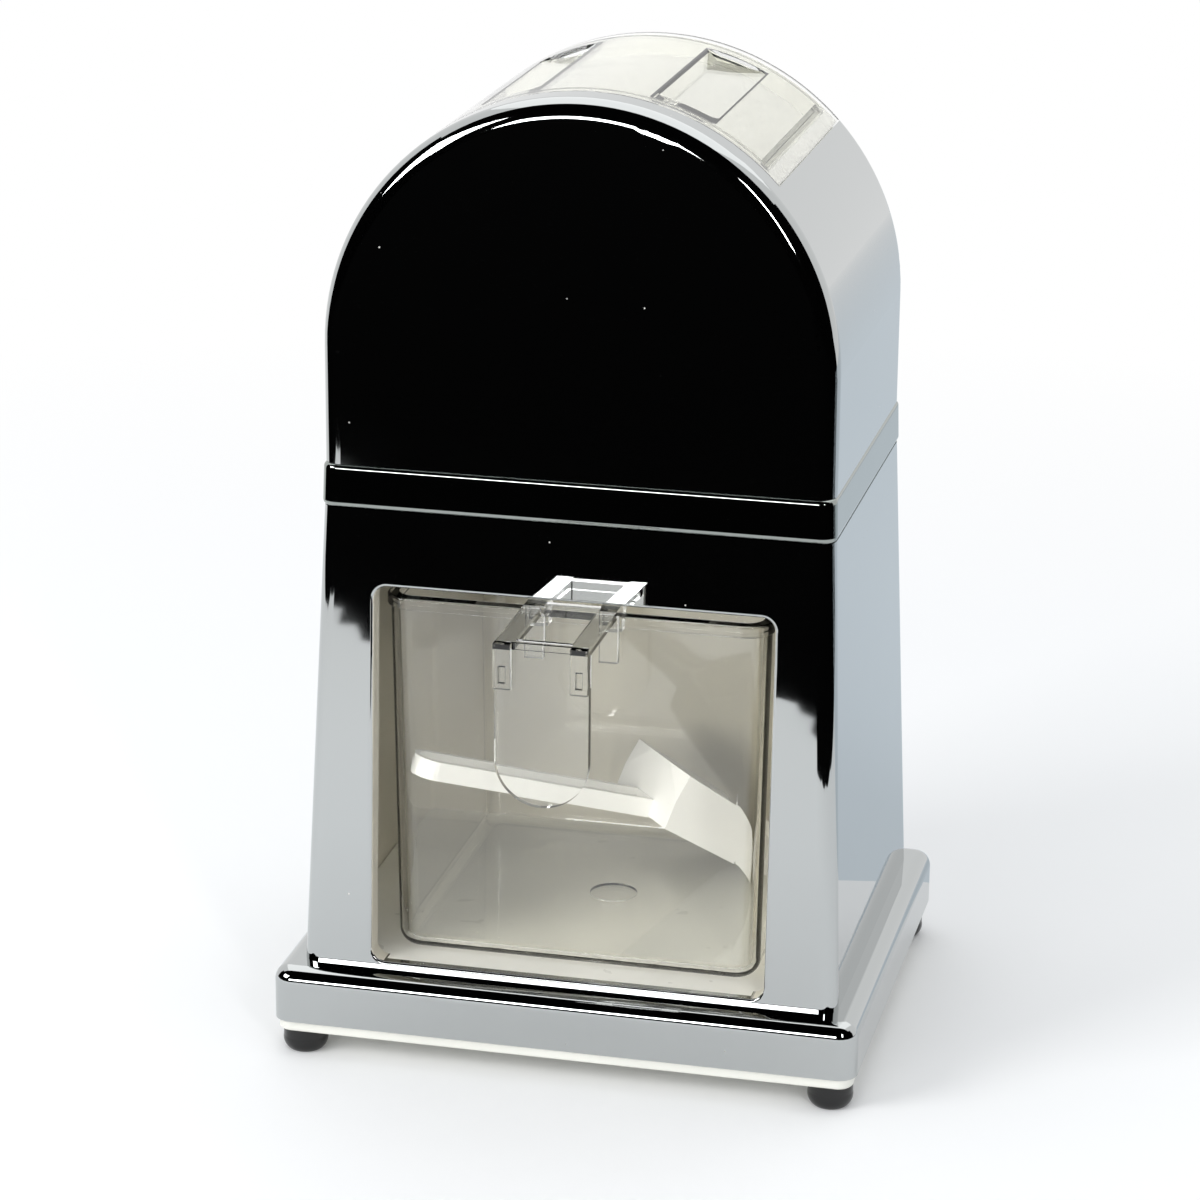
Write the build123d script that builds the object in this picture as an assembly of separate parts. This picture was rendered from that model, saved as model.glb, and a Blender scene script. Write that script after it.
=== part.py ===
from build123d import *
from math import atan2, cos, degrees, hypot, radians, sin, sqrt
import os

# Hand crank ice crusher: a plated arch-topped body on a plinth with a clear lid, a clear drawer
# with a clip-on handle and a loose scoop, and a crank at the back that turns a toothed rotor
# between two fixed combs.
# Units are millimetres and degrees. The drawer side is the front, at -Y. Heights are measured
# from the table. Sizes in Y are first taken from the middle of the body, and every piece is then
# moved by ORIGIN_SHIFT, so that the origin lies under the middle of the whole footprint.

# ---- feet, bottom cover and plinth -------------------------------------------------------------
FOOT_H = 6.5
FOOT_R = 5.8
FOOT_TOE_R = 4.4          # radius of the flat that rests on the table
FOOT_SHOULDER = 3.8       # height at which the rounded side reaches the full radius
FOOT_INSET = 7.2          # foot centre to the plinth's side
FOOT_BORE_R = 1.9
FOOT_RECESS_H = 2.6
COVER_T = 3.0
COVER_INSET = 1.0
COVER_EDGE = 0.4
PLINTH_MARGIN_W = 6.4     # plinth's side outside the housing's side
PLINTH_MARGIN_D = 7.3
PLINTH_H = 14.5
PLINTH_CORNER = 5.0
PLINTH_EDGE = 4.0         # rounding of the plinth's top edge
FOOT_BOSS_R = 4.2
FLOOR_T = 2.0             # ivory floor plate that the drawer stands on

# ---- plated shells -----------------------------------------------------------------------------
SKIN = 2.4
HOUSING_H = 122.4
HOUSING_STEP_W = 0.3      # housing's top behind the collar's side
HOUSING_STEP_D = 0.4
HOUSING_FLARE_W = 4.9     # how far the side runs outwards down to the plinth
HOUSING_FLARE_D = 6.3
HOUSING_CORNER = 4.5
PILLAR_W = 14.0           # front pillar beside the opening, at the housing's top
LINTEL_H = 19.8           # front above the opening
OPENING_CORNER = 3.5
OPENING_LIP = 0.8         # rounding of the opening's outer edge
JAMB_W = 2.0              # width of the thickened frame round the opening
JAMB_DEPTH = 5.4
COLLAR_PROUD = 0.6        # collar's foot outside the dome
COLLAR_DRAFT = 0.35       # how far the collar's side leans in up to its top
COLLAR_H = 11.3
COLLAR_CORNER = 4.0
COLLAR_EDGE = 1.4
DECK_T = 2.4              # floor inside the collar that carries the crushing chamber
DECK_RISE = 4.6           # deck underside above the collar's bottom edge
SPIGOT_H = 4.0            # rim of the collar that locates the dome and the housing
SPIGOT_T = 1.6
DOME_W = 130.8
DOME_D = 99.8
DOME_SIDE_H = 30.3        # straight side below the arch
DOME_EDGE = 5.0           # rounding between the arch and its flat ends

# ---- lid ---------------------------------------------------------------------------------------
LID_HALF_ANGLE = 47.0     # the lid spans this much of the arch to each side of the top
LID_SKIRT = 5.5           # depth of the skirt's lower edge below the arch at the lid's corner
LID_STRIP = 6.6           # plated strip left between the dome's front rounding and the lid
LID_RIM_T = 1.8
LID_OVERRUN = 5.0         # cutters run this far past the faces that they trim
LID_RIM_H = 4.5
WELL_INNER_ANGLE = 13.0   # finger wells either side of the central grip
WELL_OUTER_ANGLE = 27.5
WELL_DEPTH = 3.2
WELL_SLOPE = 2.2          # how far the well's inner wall leans
WELL_LENGTH = 64.0
WELL_CORNER = 3.0

# ---- hopper, chute and chamber -----------------------------------------------------------------
HOPPER_WALL = 2.2
HOPPER_RIM_T = 2.4        # arched rim under the lid
MOUTH_W = 86.0
MOUTH_FRONT = 4.5         # rim width in front of and behind the mouth
FUNNEL_TOP_RISE = 46.0    # above the deck
CHAMBER_W = 50.0
CHAMBER_D = 67.0
CHAMBER_H = 33.0          # chamber walls above the deck
CHAMBER_FLANGE = 8.0
FLANGE_T = 2.4
CHUTE_H = 20.0
CHUTE_FLARE = 5.0
CHUTE_WALL = 1.8
CHUTE_FLANGE = 3.0        # flange outside the chute in front and behind
FLANGE_CORNER = 2.0
MOUTH_SHOULDER = 8.0      # arched rim outside the mouth
COMB_LEDGE_W = 6.0
COMB_LEDGE_H = 4.0

# ---- rotor and combs ---------------------------------------------------------------------------
AXIS_RISE = 12.3          # rotor axis above the collar's top edge
BLADE_COUNT = 5
BLADE_PITCH = 13.0
BLADE_T = 2.2
BLADE_R = 18.0
BLADE_ROOT_R = 10.0
BLADE_TEETH = 4
TOOTH_TIP_ANGLE = 5.0     # half of the tooth's tip
TOOTH_ROOT_ANGLE = 30.0   # half of the tooth's root
TOOTH_WAIST_ANGLE = 9.0   # half of the tooth at mid height, which makes the flanks hollow
TOOTH_SINK = 1.0          # how deep a tooth's foot lies in the blade's disc
BLADE_STAGGER = 18.0      # each blade is turned by this much from the one before
HUB_R = 7.8
END_SPACER = 4.9
HEX_FLATS = 9.0
COMB_T = 2.2
COMB_DROP = 4.8           # comb's top face below the rotor axis
COMB_TIP_GAP = 1.2        # finger tips to the rotor's hub
COMB_BACK = 5.6           # width of the comb's back strip
FINE_FINGER_W = 6.8
COARSE_FINGER_W = 3.4
FINGER_ROUND = 0.35       # rounding of a finger's tip as a share of its width

# ---- shaft and bearings ------------------------------------------------------------------------
FRONT_JOURNAL_R = 3.5
REAR_JOURNAL_R = 4.5
RUNNING_GAP = 0.05
HEX_GAP = 0.06
BUSH_WALL = 2.2
BUSH_FLANGE = 2.2
BUSH_FLANGE_T = 1.3
REAR_BOSS_R = 11.5        # boss of the rear bush outside the dome
REAR_BOSS_T = 4.2
REAR_BOSS_EDGE = 1.0
SHAFT_NOSE = 3.0          # shaft's end in front of the retaining clip
CLIP_T = 0.8
CLIP_W = 2.2
CLIP_MOUTH = 0.9          # clip's mouth as a share of the groove's width
GROOVE_DEPTH = 0.7
END_PLAY = 0.2

# ---- crank and knob ----------------------------------------------------------------------------
CRANK_LENGTH = 72.0
CRANK_T = 4.0
CRANK_HUB_R = 9.5
CRANK_TIP_R = 7.5
CRANK_WAIST_R = 5.6
CRANK_MEET = 0.98         # arm's sides meet the hub and the tip inside their circles by this share
WASHER_T = 1.2
WASHER_R = 8.0
SQUARE_W = 6.4
SQUARE_SHORT = 0.5        # square's end below the arm's outer face
STUD_R = 2.5
NUT_H = 7.0
NUT_R = 4.8
NUT_DOME_R = 4.0
NUT_DOME_EDGE = 2.8
NUT_CROWN = 2.0           # solid crown above the stud
NUT_HEX_SHARE = 0.55      # hexagon's share of the nut's height
PIN_R = 3.0
PIN_TAIL_R = 2.4
PIN_HEAD_R = 5.0
PIN_HEAD_H = 2.0
KNOB_LENGTH = 46.0
KNOB_NECK_R = 8.6
KNOB_BELLY_R = 12.6
KNOB_END_R = 11.0
KNOB_RECESS_R = 6.4
KNOB_RECESS_H = 5.0
KNOB_NECK_EDGE = 1.5
KNOB_END_EDGE = 2.2
KNOB_BELLY_AT = 0.62      # widest place as a share of the length
KNOB_GAP = 1.0            # crank arm to the knob
CAP_H = 2.2
CAP_EDGE = 0.6

# ---- drawer and its handle ---------------------------------------------------------------------
DRAWER_SIDE_GAP = 1.3     # rim to the opening's side
DRAWER_TOP_GAP = 0.8      # handle's top to the opening's top edge
DRAWER_FRONT_GAP = 1.5    # drawer's front behind the top of the housing's front
DRAWER_REAR_GAP = 0.6     # rim to the housing's rear wall
DRAWER_DRAFT_W = 1.5      # how far each side leans in down to the floor
DRAWER_DRAFT_D = 1.0
DRAWER_WALL = 2.2
DRAWER_CORNER = 6.5
DRAWER_BASE_EDGE = 4.5
RIM_BEAD = 0.9
RIM_H = 3.2
RIM_EDGE = 0.7
GATE_R = 6.4              # moulding mark in the middle of the floor
GATE_DEPTH = 0.7
DRAWER_TRAVEL = 100.0
HANDLE_W = 23.8
HANDLE_REACH = 34.0       # tongue's front face in front of the drawer's rim
HANDLE_T = 2.2
HANDLE_ARM_W = 4.8
HANDLE_BAR = 3.2
HANDLE_REAR_BAR = 5.0
HOOK_DEPTH = 4.0
HOOK_DROP = 5.0
HOOK_EDGE = 1.0
TONGUE_H = 42.3
TONGUE_T = 2.4
CLIP_LEG_T = 2.2
CLIP_LEG_H = 12.0
CLIP_GAP = 0.2
EAR_W = 4.4
EAR_H = 11.7
EAR_T = 1.6
EAR_SLOT_W = 1.8
EAR_SLOT_H = 4.4
EAR_SLOT_RISE = 1.4

# ---- scoop -------------------------------------------------------------------------------------
SCOOP_WALL = 1.6
SCOOP_GRIP_L = 70.8
SCOOP_GRIP_W = 10.6
SCOOP_GRIP_H = 5.0
SCOOP_HEAD_L = 43.6
SCOOP_HEAD_W = 31.0
SCOOP_HEAD_H = 15.5       # side walls at the head's back
SCOOP_BACK_LEAN = 2.5     # how far the back's top edge lies behind its foot
SCOOP_SHOULDER = 1.2      # length over which the head widens from the grip
SCOOP_RIM_RUN = 30.0      # length of the nearly level rim
SCOOP_RIM_FALL = 2.5      # how far the rim drops over that length
SCOOP_TIP_R = 9.0
SCOOP_TIP_H = 3.0         # side wall left at the tip
SCOOP_BEND = 15.0         # head to grip
SCOOP_PITCH = 18.0        # lies head down on the drawer's floor, grip leaning in a corner
SCOOP_HEADING = 38.5
SCOOP_X = -44.6           # grip's end from the drawer's middle
SCOOP_Y = -42.0
SCOOP_FLOAT = 0.3         # gap between the head and the drawer's floor

# ---- screws ------------------------------------------------------------------------------------
SCREW_R = 1.5
SCREW_HEAD_R = 3.0
SCREW_HEAD_H = 1.8
SCREW_HEAD_EDGE = 0.9
SCREW_GAP = 0.1
FOOT_SCREW_L = 12.0
DECK_SCREW_L = 7.0
DECK_SCREW_SHARE = 0.7    # place of a deck screw as a share of the chamber's half depth
COMB_SCREW_L = 5.0

SEAT_GAP = 0.3            # between pieces that lift, slide or turn and what they sit in
FACE_GAP = 0.1            # between fitted curved faces that don't move

# ---- levels and planes that follow from the sizes above ----------------------------------------
COVER_Z = FOOT_H
PLINTH_Z = COVER_Z + COVER_T
HOUSING_Z = PLINTH_Z + PLINTH_H
FLOOR_Z = HOUSING_Z + FLOOR_T
COLLAR_Z = HOUSING_Z + HOUSING_H
DECK_Z = COLLAR_Z + DECK_RISE
CHAMBER_Z = DECK_Z + DECK_T
DOME_Z = COLLAR_Z + COLLAR_H
COLLAR_W = DOME_W + 2 * COLLAR_PROUD
COLLAR_D = DOME_D + 2 * COLLAR_PROUD
HOUSING_TOP_W = COLLAR_W - 2 * HOUSING_STEP_W
HOUSING_TOP_D = COLLAR_D - 2 * HOUSING_STEP_D
HOUSING_BOTTOM_W = HOUSING_TOP_W + 2 * HOUSING_FLARE_W
HOUSING_BOTTOM_D = HOUSING_TOP_D + 2 * HOUSING_FLARE_D
PLINTH_W = HOUSING_BOTTOM_W + 2 * PLINTH_MARGIN_W
PLINTH_D = HOUSING_BOTTOM_D + 2 * PLINTH_MARGIN_D
OPENING_W = HOUSING_TOP_W - 2 * PILLAR_W
OPENING_H = HOUSING_H - FLOOR_T - LINTEL_H
SPRING_Z = DOME_Z + DOME_SIDE_H
DOME_R = DOME_W / 2
TOP_Z = SPRING_Z + DOME_R
AXIS_Z = DOME_Z + AXIS_RISE
LID_FRONT_Y = -DOME_D / 2 + DOME_EDGE + LID_STRIP
REAR_Y = DOME_D / 2
CHAMBER_Y = CHAMBER_D / 2
BUSH_OUT_Y = REAR_Y + REAR_BOSS_T
HUB_Y = BUSH_OUT_Y + END_PLAY + WASHER_T
ARM_Y = HUB_Y + CRANK_T
KNOB_Y = ARM_Y + KNOB_GAP
PIN_Z = AXIS_Z - CRANK_LENGTH
STACK_HALF = (BLADE_COUNT - 1) * BLADE_PITCH / 2 + BLADE_T / 2 + END_SPACER
DRAWER_H = OPENING_H - (SEAT_GAP + CLIP_GAP + HANDLE_T + DRAWER_TOP_GAP)
RIM_Z = FLOOR_Z + DRAWER_H
HOUSING_INNER_Y = HOUSING_TOP_D / 2 + HOUSING_FLARE_D * (COLLAR_Z - RIM_Z) / HOUSING_H - SKIN
DRAWER_FRONT_Y = -HOUSING_TOP_D / 2 + DRAWER_FRONT_GAP
DRAWER_REAR_Y = HOUSING_INNER_Y - DRAWER_REAR_GAP - RIM_BEAD
DRAWER_Y = (DRAWER_FRONT_Y + DRAWER_REAR_Y) / 2
DRAWER_TOP_W = OPENING_W - 2 * (DRAWER_SIDE_GAP + RIM_BEAD)
DRAWER_TOP_D = DRAWER_REAR_Y - DRAWER_FRONT_Y
DRAWER_BOTTOM_W = DRAWER_TOP_W - 2 * DRAWER_DRAFT_W
DRAWER_BOTTOM_D = DRAWER_TOP_D - 2 * DRAWER_DRAFT_D
TONGUE_Y = DRAWER_FRONT_Y - HANDLE_REACH
FRONT_REACH = -(TONGUE_Y - EAR_T)
REAR_REACH = KNOB_Y + KNOB_LENGTH
ORIGIN_SHIFT = (FRONT_REACH - REAR_REACH) / 2
LID_WALL = SKIN + FACE_GAP - SEAT_GAP
FOOT_RECESS_R = SCREW_HEAD_R + SEAT_GAP
FOOT_X = PLINTH_W / 2 - FOOT_INSET
FOOT_Y = PLINTH_D / 2 - FOOT_INSET
FEET = [(sx * FOOT_X, sy * FOOT_Y) for sx in (-1, 1) for sy in (-1, 1)]


# ---- shared shapes -----------------------------------------------------------------------------
def slab(width, depth, corner, z0, z1):
    """Upright block with rounded corners between two heights."""
    return extrude(Pos(0, 0, z0) * RectangleRounded(width, depth, corner), z1 - z0)


def taper(low, high, z0, z1):
    """Block that tapers from one rounded rectangle (width, depth, corner) to another."""
    return loft([Pos(0, 0, z0) * RectangleRounded(*low), Pos(0, 0, z1) * RectangleRounded(*high)], ruled=True)


def block(x0, x1, y0, y1, z0, z1):
    """Plain box between three pairs of planes."""
    return Pos((x0 + x1) / 2, (y0 + y1) / 2, (z0 + z1) / 2) * Box(x1 - x0, y1 - y0, z1 - z0)


def rod(radius, y0, y1, x=0.0, z=0.0):
    """Round bar along Y."""
    return Pos(x, y1, z) * extrude(Plane.XZ * Circle(radius), y1 - y0)


def ring(outer, inner, y0, y1, x=0.0, z=0.0):
    """Tube or washer along Y."""
    return rod(outer, y0, y1, x, z) - rod(inner, y0 - 1, y1 + 1, x, z)


def along_y(face, y0, y1):
    """Prism along Y of a face drawn in X and height."""
    return Pos(0, y1, 0) * extrude(Plane.XZ * face, y1 - y0)


def wedge(points):
    """Face through points given as (x, height)."""
    return make_face(Polyline(*points, close=True))


def arch(inset, z0):
    """Inside of the dome's outline, drawn in by inset and cut off at z0."""
    half_w = DOME_W / 2 - inset
    half_d = DOME_D / 2 - inset
    side = Pos(0, (z0 + SPRING_Z) / 2) * Rectangle(2 * half_w, SPRING_Z - z0)
    outline = side + Pos(0, SPRING_Z) * Circle(half_w)
    body = extrude(Plane.XZ * outline, half_d, both=True)
    body = body - block(-half_w - 1, half_w + 1, -half_d - 1, half_d + 1, z0 - 2 * half_w, z0)
    ends = body.faces().sort_by(Axis.Y)
    edges = [e for f in (ends[0], ends[-1]) for e in f.edges() if e.center().Z > z0 + 0.01]
    return fillet(edges, max(DOME_EDGE - inset, 0.4))


def housing_block(inset, z0=HOUSING_Z, z1=COLLAR_Z):
    """Lower housing's tapering outline, drawn in by inset."""
    corner = max(HOUSING_CORNER - inset, 0.5)
    low = (HOUSING_BOTTOM_W - 2 * inset, HOUSING_BOTTOM_D - 2 * inset, corner)
    high = (HOUSING_TOP_W - 2 * inset, HOUSING_TOP_D - 2 * inset, corner)
    return taper(low, high, z0, z1)


def lid_window(gap):
    """Prism over the part of the arch that the lid fills, drawn in by gap on all sides."""
    angle = radians(LID_HALF_ANGLE) - gap / DOME_R
    z_low = SPRING_Z + (DOME_R - LID_SKIRT) * cos(angle) + gap
    x_low = (z_low - SPRING_Z) * sin(angle) / cos(angle)
    x_high = x_low + 2 * DOME_EDGE * sin(angle)
    z_high = z_low + 2 * DOME_EDGE * cos(angle)
    z_top = TOP_Z + LID_OVERRUN
    outline = wedge([(-x_low, z_low), (x_low, z_low), (x_high, z_high), (x_high, z_top), (-x_high, z_top),
                     (-x_high, z_high)])
    return along_y(outline, LID_FRONT_Y + gap, REAR_Y + LID_OVERRUN)


def screw(length, head_up=True):
    """Round-headed screw along Z with its head's seat at the origin."""
    shank = Cylinder(SCREW_R, length, align=(Align.CENTER, Align.CENTER, Align.MAX))
    head = Cylinder(SCREW_HEAD_R, SCREW_HEAD_H, align=(Align.CENTER, Align.CENTER, Align.MIN))
    head = chamfer(head.faces().sort_by(Axis.Z)[-1].edges(), SCREW_HEAD_EDGE)
    body = head + shank
    return body if head_up else Rot(180, 0, 0) * body


# ---- base --------------------------------------------------------------------------------------
def foot(x, y):
    """Soft foot with a rounded toe and a recess for the screw head."""
    bulge_r = FOOT_TOE_R + (FOOT_R - FOOT_TOE_R) * sin(radians(45))
    bulge_z = FOOT_SHOULDER * (1 - cos(radians(45)))
    profile = make_face([
        Line((FOOT_RECESS_R, 0), (FOOT_TOE_R, 0)),
        ThreePointArc((FOOT_TOE_R, 0), (bulge_r, bulge_z), (FOOT_R, FOOT_SHOULDER)),
        Line((FOOT_R, FOOT_SHOULDER), (FOOT_R, FOOT_H)),
        Line((FOOT_R, FOOT_H), (FOOT_BORE_R, FOOT_H)),
        Line((FOOT_BORE_R, FOOT_H), (FOOT_BORE_R, FOOT_RECESS_H)),
        Line((FOOT_BORE_R, FOOT_RECESS_H), (FOOT_RECESS_R, FOOT_RECESS_H)),
        Line((FOOT_RECESS_R, FOOT_RECESS_H), (FOOT_RECESS_R, 0)),
    ])
    return Pos(x, y, 0) * revolve(Plane.XZ * profile, Axis.Z)


def bottom_cover():
    width, depth = PLINTH_W - 2 * COVER_INSET, PLINTH_D - 2 * COVER_INSET
    plate = slab(width, depth, PLINTH_CORNER - COVER_INSET, COVER_Z, PLINTH_Z)
    plate = chamfer(plate.faces().sort_by(Axis.Z)[0].edges(), COVER_EDGE)
    for x, y in FEET:
        plate -= Pos(x, y, COVER_Z) * Cylinder(FOOT_BORE_R, 4 * COVER_T)
    return plate


def base_plinth():
    outer = slab(PLINTH_W, PLINTH_D, PLINTH_CORNER, PLINTH_Z, HOUSING_Z)
    outer = fillet(outer.faces().sort_by(Axis.Z)[-1].edges(), PLINTH_EDGE)
    inner_w, inner_d = PLINTH_W - 2 * SKIN, PLINTH_D - 2 * SKIN
    inner = slab(inner_w, inner_d, PLINTH_CORNER - SKIN, PLINTH_Z - 1, HOUSING_Z - SKIN)
    inner = fillet(inner.faces().sort_by(Axis.Z)[-1].edges(), PLINTH_EDGE - SKIN)
    shell = outer - inner
    for x, y in FEET:
        boss = Pos(x, y, 0) * extrude(Pos(0, 0, PLINTH_Z) * Circle(FOOT_BOSS_R), PLINTH_H - SKIN / 2)
        shell += boss & outer
    for x, y in FEET:
        shell -= Pos(x, y, PLINTH_Z - 1) * extrude(Circle(SCREW_R + SCREW_GAP), PLINTH_H - SKIN)
    return shell


def base_floor():
    """Ivory plate inside the housing."""
    inset = SKIN + SEAT_GAP
    low = (HOUSING_BOTTOM_W - 2 * inset, HOUSING_BOTTOM_D - 2 * inset, HOUSING_CORNER)
    share = 2 * FLOOR_T / HOUSING_H
    high = (low[0] - share * HOUSING_FLARE_W, low[1] - share * HOUSING_FLARE_D, HOUSING_CORNER)
    return taper(low, high, HOUSING_Z, FLOOR_Z)


# ---- plated body -------------------------------------------------------------------------------
def lower_housing():
    outer = housing_block(0)
    shell = outer - housing_block(SKIN, HOUSING_Z - 0.01, COLLAR_Z + 0.01)
    opening_z = FLOOR_Z + OPENING_H / 2
    hole = Pos(0, opening_z) * RectangleRounded(OPENING_W, OPENING_H, OPENING_CORNER)
    frame = Pos(0, opening_z) * RectangleRounded(OPENING_W + 2 * JAMB_W, OPENING_H + 2 * JAMB_W,
                                                 OPENING_CORNER + JAMB_W)
    jamb = along_y(frame, -HOUSING_BOTTOM_D, 0) & outer
    jamb -= housing_block(JAMB_DEPTH, HOUSING_Z - 0.01, COLLAR_Z + 0.01)
    jamb -= block(-OPENING_W, OPENING_W, -HOUSING_BOTTOM_D, 0, HOUSING_Z, FLOOR_Z)
    shell = shell + jamb - along_y(hole, -HOUSING_BOTTOM_D, 0)
    pierced = [f for f in shell.faces() if f.inner_wires()]
    front = min(pierced, key=lambda f: f.center().Y)
    return fillet(front.inner_wires()[0].edges(), OPENING_LIP)


def collar_ring():
    low = (COLLAR_W, COLLAR_D, COLLAR_CORNER)
    high = (COLLAR_W - 2 * COLLAR_DRAFT, COLLAR_D - 2 * COLLAR_DRAFT, COLLAR_CORNER)
    outer = taper(low, high, COLLAR_Z, DOME_Z)
    ends = outer.faces().filter_by(Axis.Z)
    outer = fillet([e for f in ends for e in f.edges()], COLLAR_EDGE)
    spigot_w, spigot_d = DOME_W - 2 * SKIN - 2 * FACE_GAP, DOME_D - 2 * SKIN - 2 * FACE_GAP
    spigot_z, rim_z = COLLAR_Z - SPIGOT_H, DOME_Z + SPIGOT_H
    spigot = slab(spigot_w, spigot_d, DOME_EDGE - SKIN, spigot_z, rim_z)
    outside = block(-COLLAR_W, COLLAR_W, -COLLAR_D, COLLAR_D, spigot_z - 1, COLLAR_Z)
    spigot = spigot - (outside - housing_block(SKIN + FACE_GAP))
    bore = slab(spigot_w - 2 * SPIGOT_T, spigot_d - 2 * SPIGOT_T, DOME_EDGE - SKIN, spigot_z - 1, rim_z + 1)
    deck = slab(spigot_w - SPIGOT_T, spigot_d - SPIGOT_T, DOME_EDGE - SKIN, DECK_Z, CHAMBER_Z)
    deck -= block(-CHAMBER_W / 2, CHAMBER_W / 2, -CHAMBER_Y, CHAMBER_Y, DECK_Z - 1, CHAMBER_Z + 1)
    ring_body = outer + spigot - bore + deck
    for x, y in deck_screw_places():
        ring_body -= Pos(x, y, DECK_Z) * Cylinder(SCREW_R + SCREW_GAP, 4 * DECK_T)
    return ring_body


def dome():
    shell = arch(0, DOME_Z) - arch(SKIN, DOME_Z - 0.01)
    shell -= lid_window(0)
    return shell - rod(REAR_JOURNAL_R + BUSH_WALL + FACE_GAP, 0, REAR_Y + 1, 0, AXIS_Z)


# ---- lid ---------------------------------------------------------------------------------------
def well_face():
    """Section of the right-hand finger well: a steep grip wall and a floor that runs out."""
    inner, outer = radians(WELL_INNER_ANGLE), radians(WELL_OUTER_ANGLE)
    grip = (DOME_R * sin(inner), SPRING_Z + DOME_R * cos(inner))
    run_out = (DOME_R * sin(outer), SPRING_Z + DOME_R * cos(outer))
    toe = (grip[0] + WELL_SLOPE, grip[1] - WELL_DEPTH)
    z_top = TOP_Z + LID_OVERRUN
    return wedge([(grip[0], z_top), grip, toe, run_out, (run_out[0], z_top)])


def lid():
    """Clear lid over the arch, with a rim that drops into the hopper's mouth."""
    shell = (arch(0, SPRING_Z - 1) - arch(LID_WALL, SPRING_Z - 2)) & lid_window(SEAT_GAP)
    y_mid = (LID_FRONT_Y + REAR_Y - DOME_EDGE) / 2
    mouth_y0, mouth_y1 = mouth_planes()
    g, t = SEAT_GAP, SEAT_GAP + LID_RIM_T
    half = MOUTH_W / 2
    rim = block(-half + g, half - g, mouth_y0 + g, mouth_y1 - g, SPRING_Z, TOP_Z)
    rim -= block(-half + t, half - t, mouth_y0 + t, mouth_y1 - t, SPRING_Z, TOP_Z)
    rim = (rim & arch(LID_WALL / 2, SPRING_Z - 1)) - arch(LID_WALL + LID_RIM_H, SPRING_Z - 2)
    shell += rim
    cup_face = offset(well_face(), LID_WALL)
    cup = along_y(cup_face, y_mid - WELL_LENGTH / 2 - LID_WALL, y_mid + WELL_LENGTH / 2 + LID_WALL)
    cup = cup & arch(LID_WALL / 2, SPRING_Z - 1)
    well = along_y(well_face(), y_mid - WELL_LENGTH / 2, y_mid + WELL_LENGTH / 2)
    upright = [e for e in well.edges().filter_by(Axis.Z) if e.length > LID_OVERRUN]
    well = fillet(upright, WELL_CORNER)
    for side in (False, True):
        outside = mirror(cup, Plane.YZ) if side else cup
        inside = mirror(well, Plane.YZ) if side else well
        shell = shell + outside - inside
    return shell


# ---- hopper, chute and combs -------------------------------------------------------------------
def mouth_planes():
    """Front and rear planes of the hopper's mouth."""
    return LID_FRONT_Y + MOUTH_FRONT, REAR_Y - SKIN - FACE_GAP - MOUTH_FRONT


def deck_screw_places():
    x, y = CHAMBER_W / 2 + HOPPER_WALL + CHAMBER_FLANGE / 2, CHAMBER_Y * DECK_SCREW_SHARE
    return [(sx * x, sy * y) for sx in (-1, 1) for sy in (-1, 1)]


def comb_screw_places(side):
    x = side * (CHAMBER_W / 2 - SCREW_HEAD_R - SCREW_GAP)
    return [(x, sy * BLADE_PITCH * (BLADE_COUNT - 2) / 2) for sy in (-1, 1)]


def comb_z():
    return AXIS_Z - COMB_DROP - COMB_T


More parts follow.
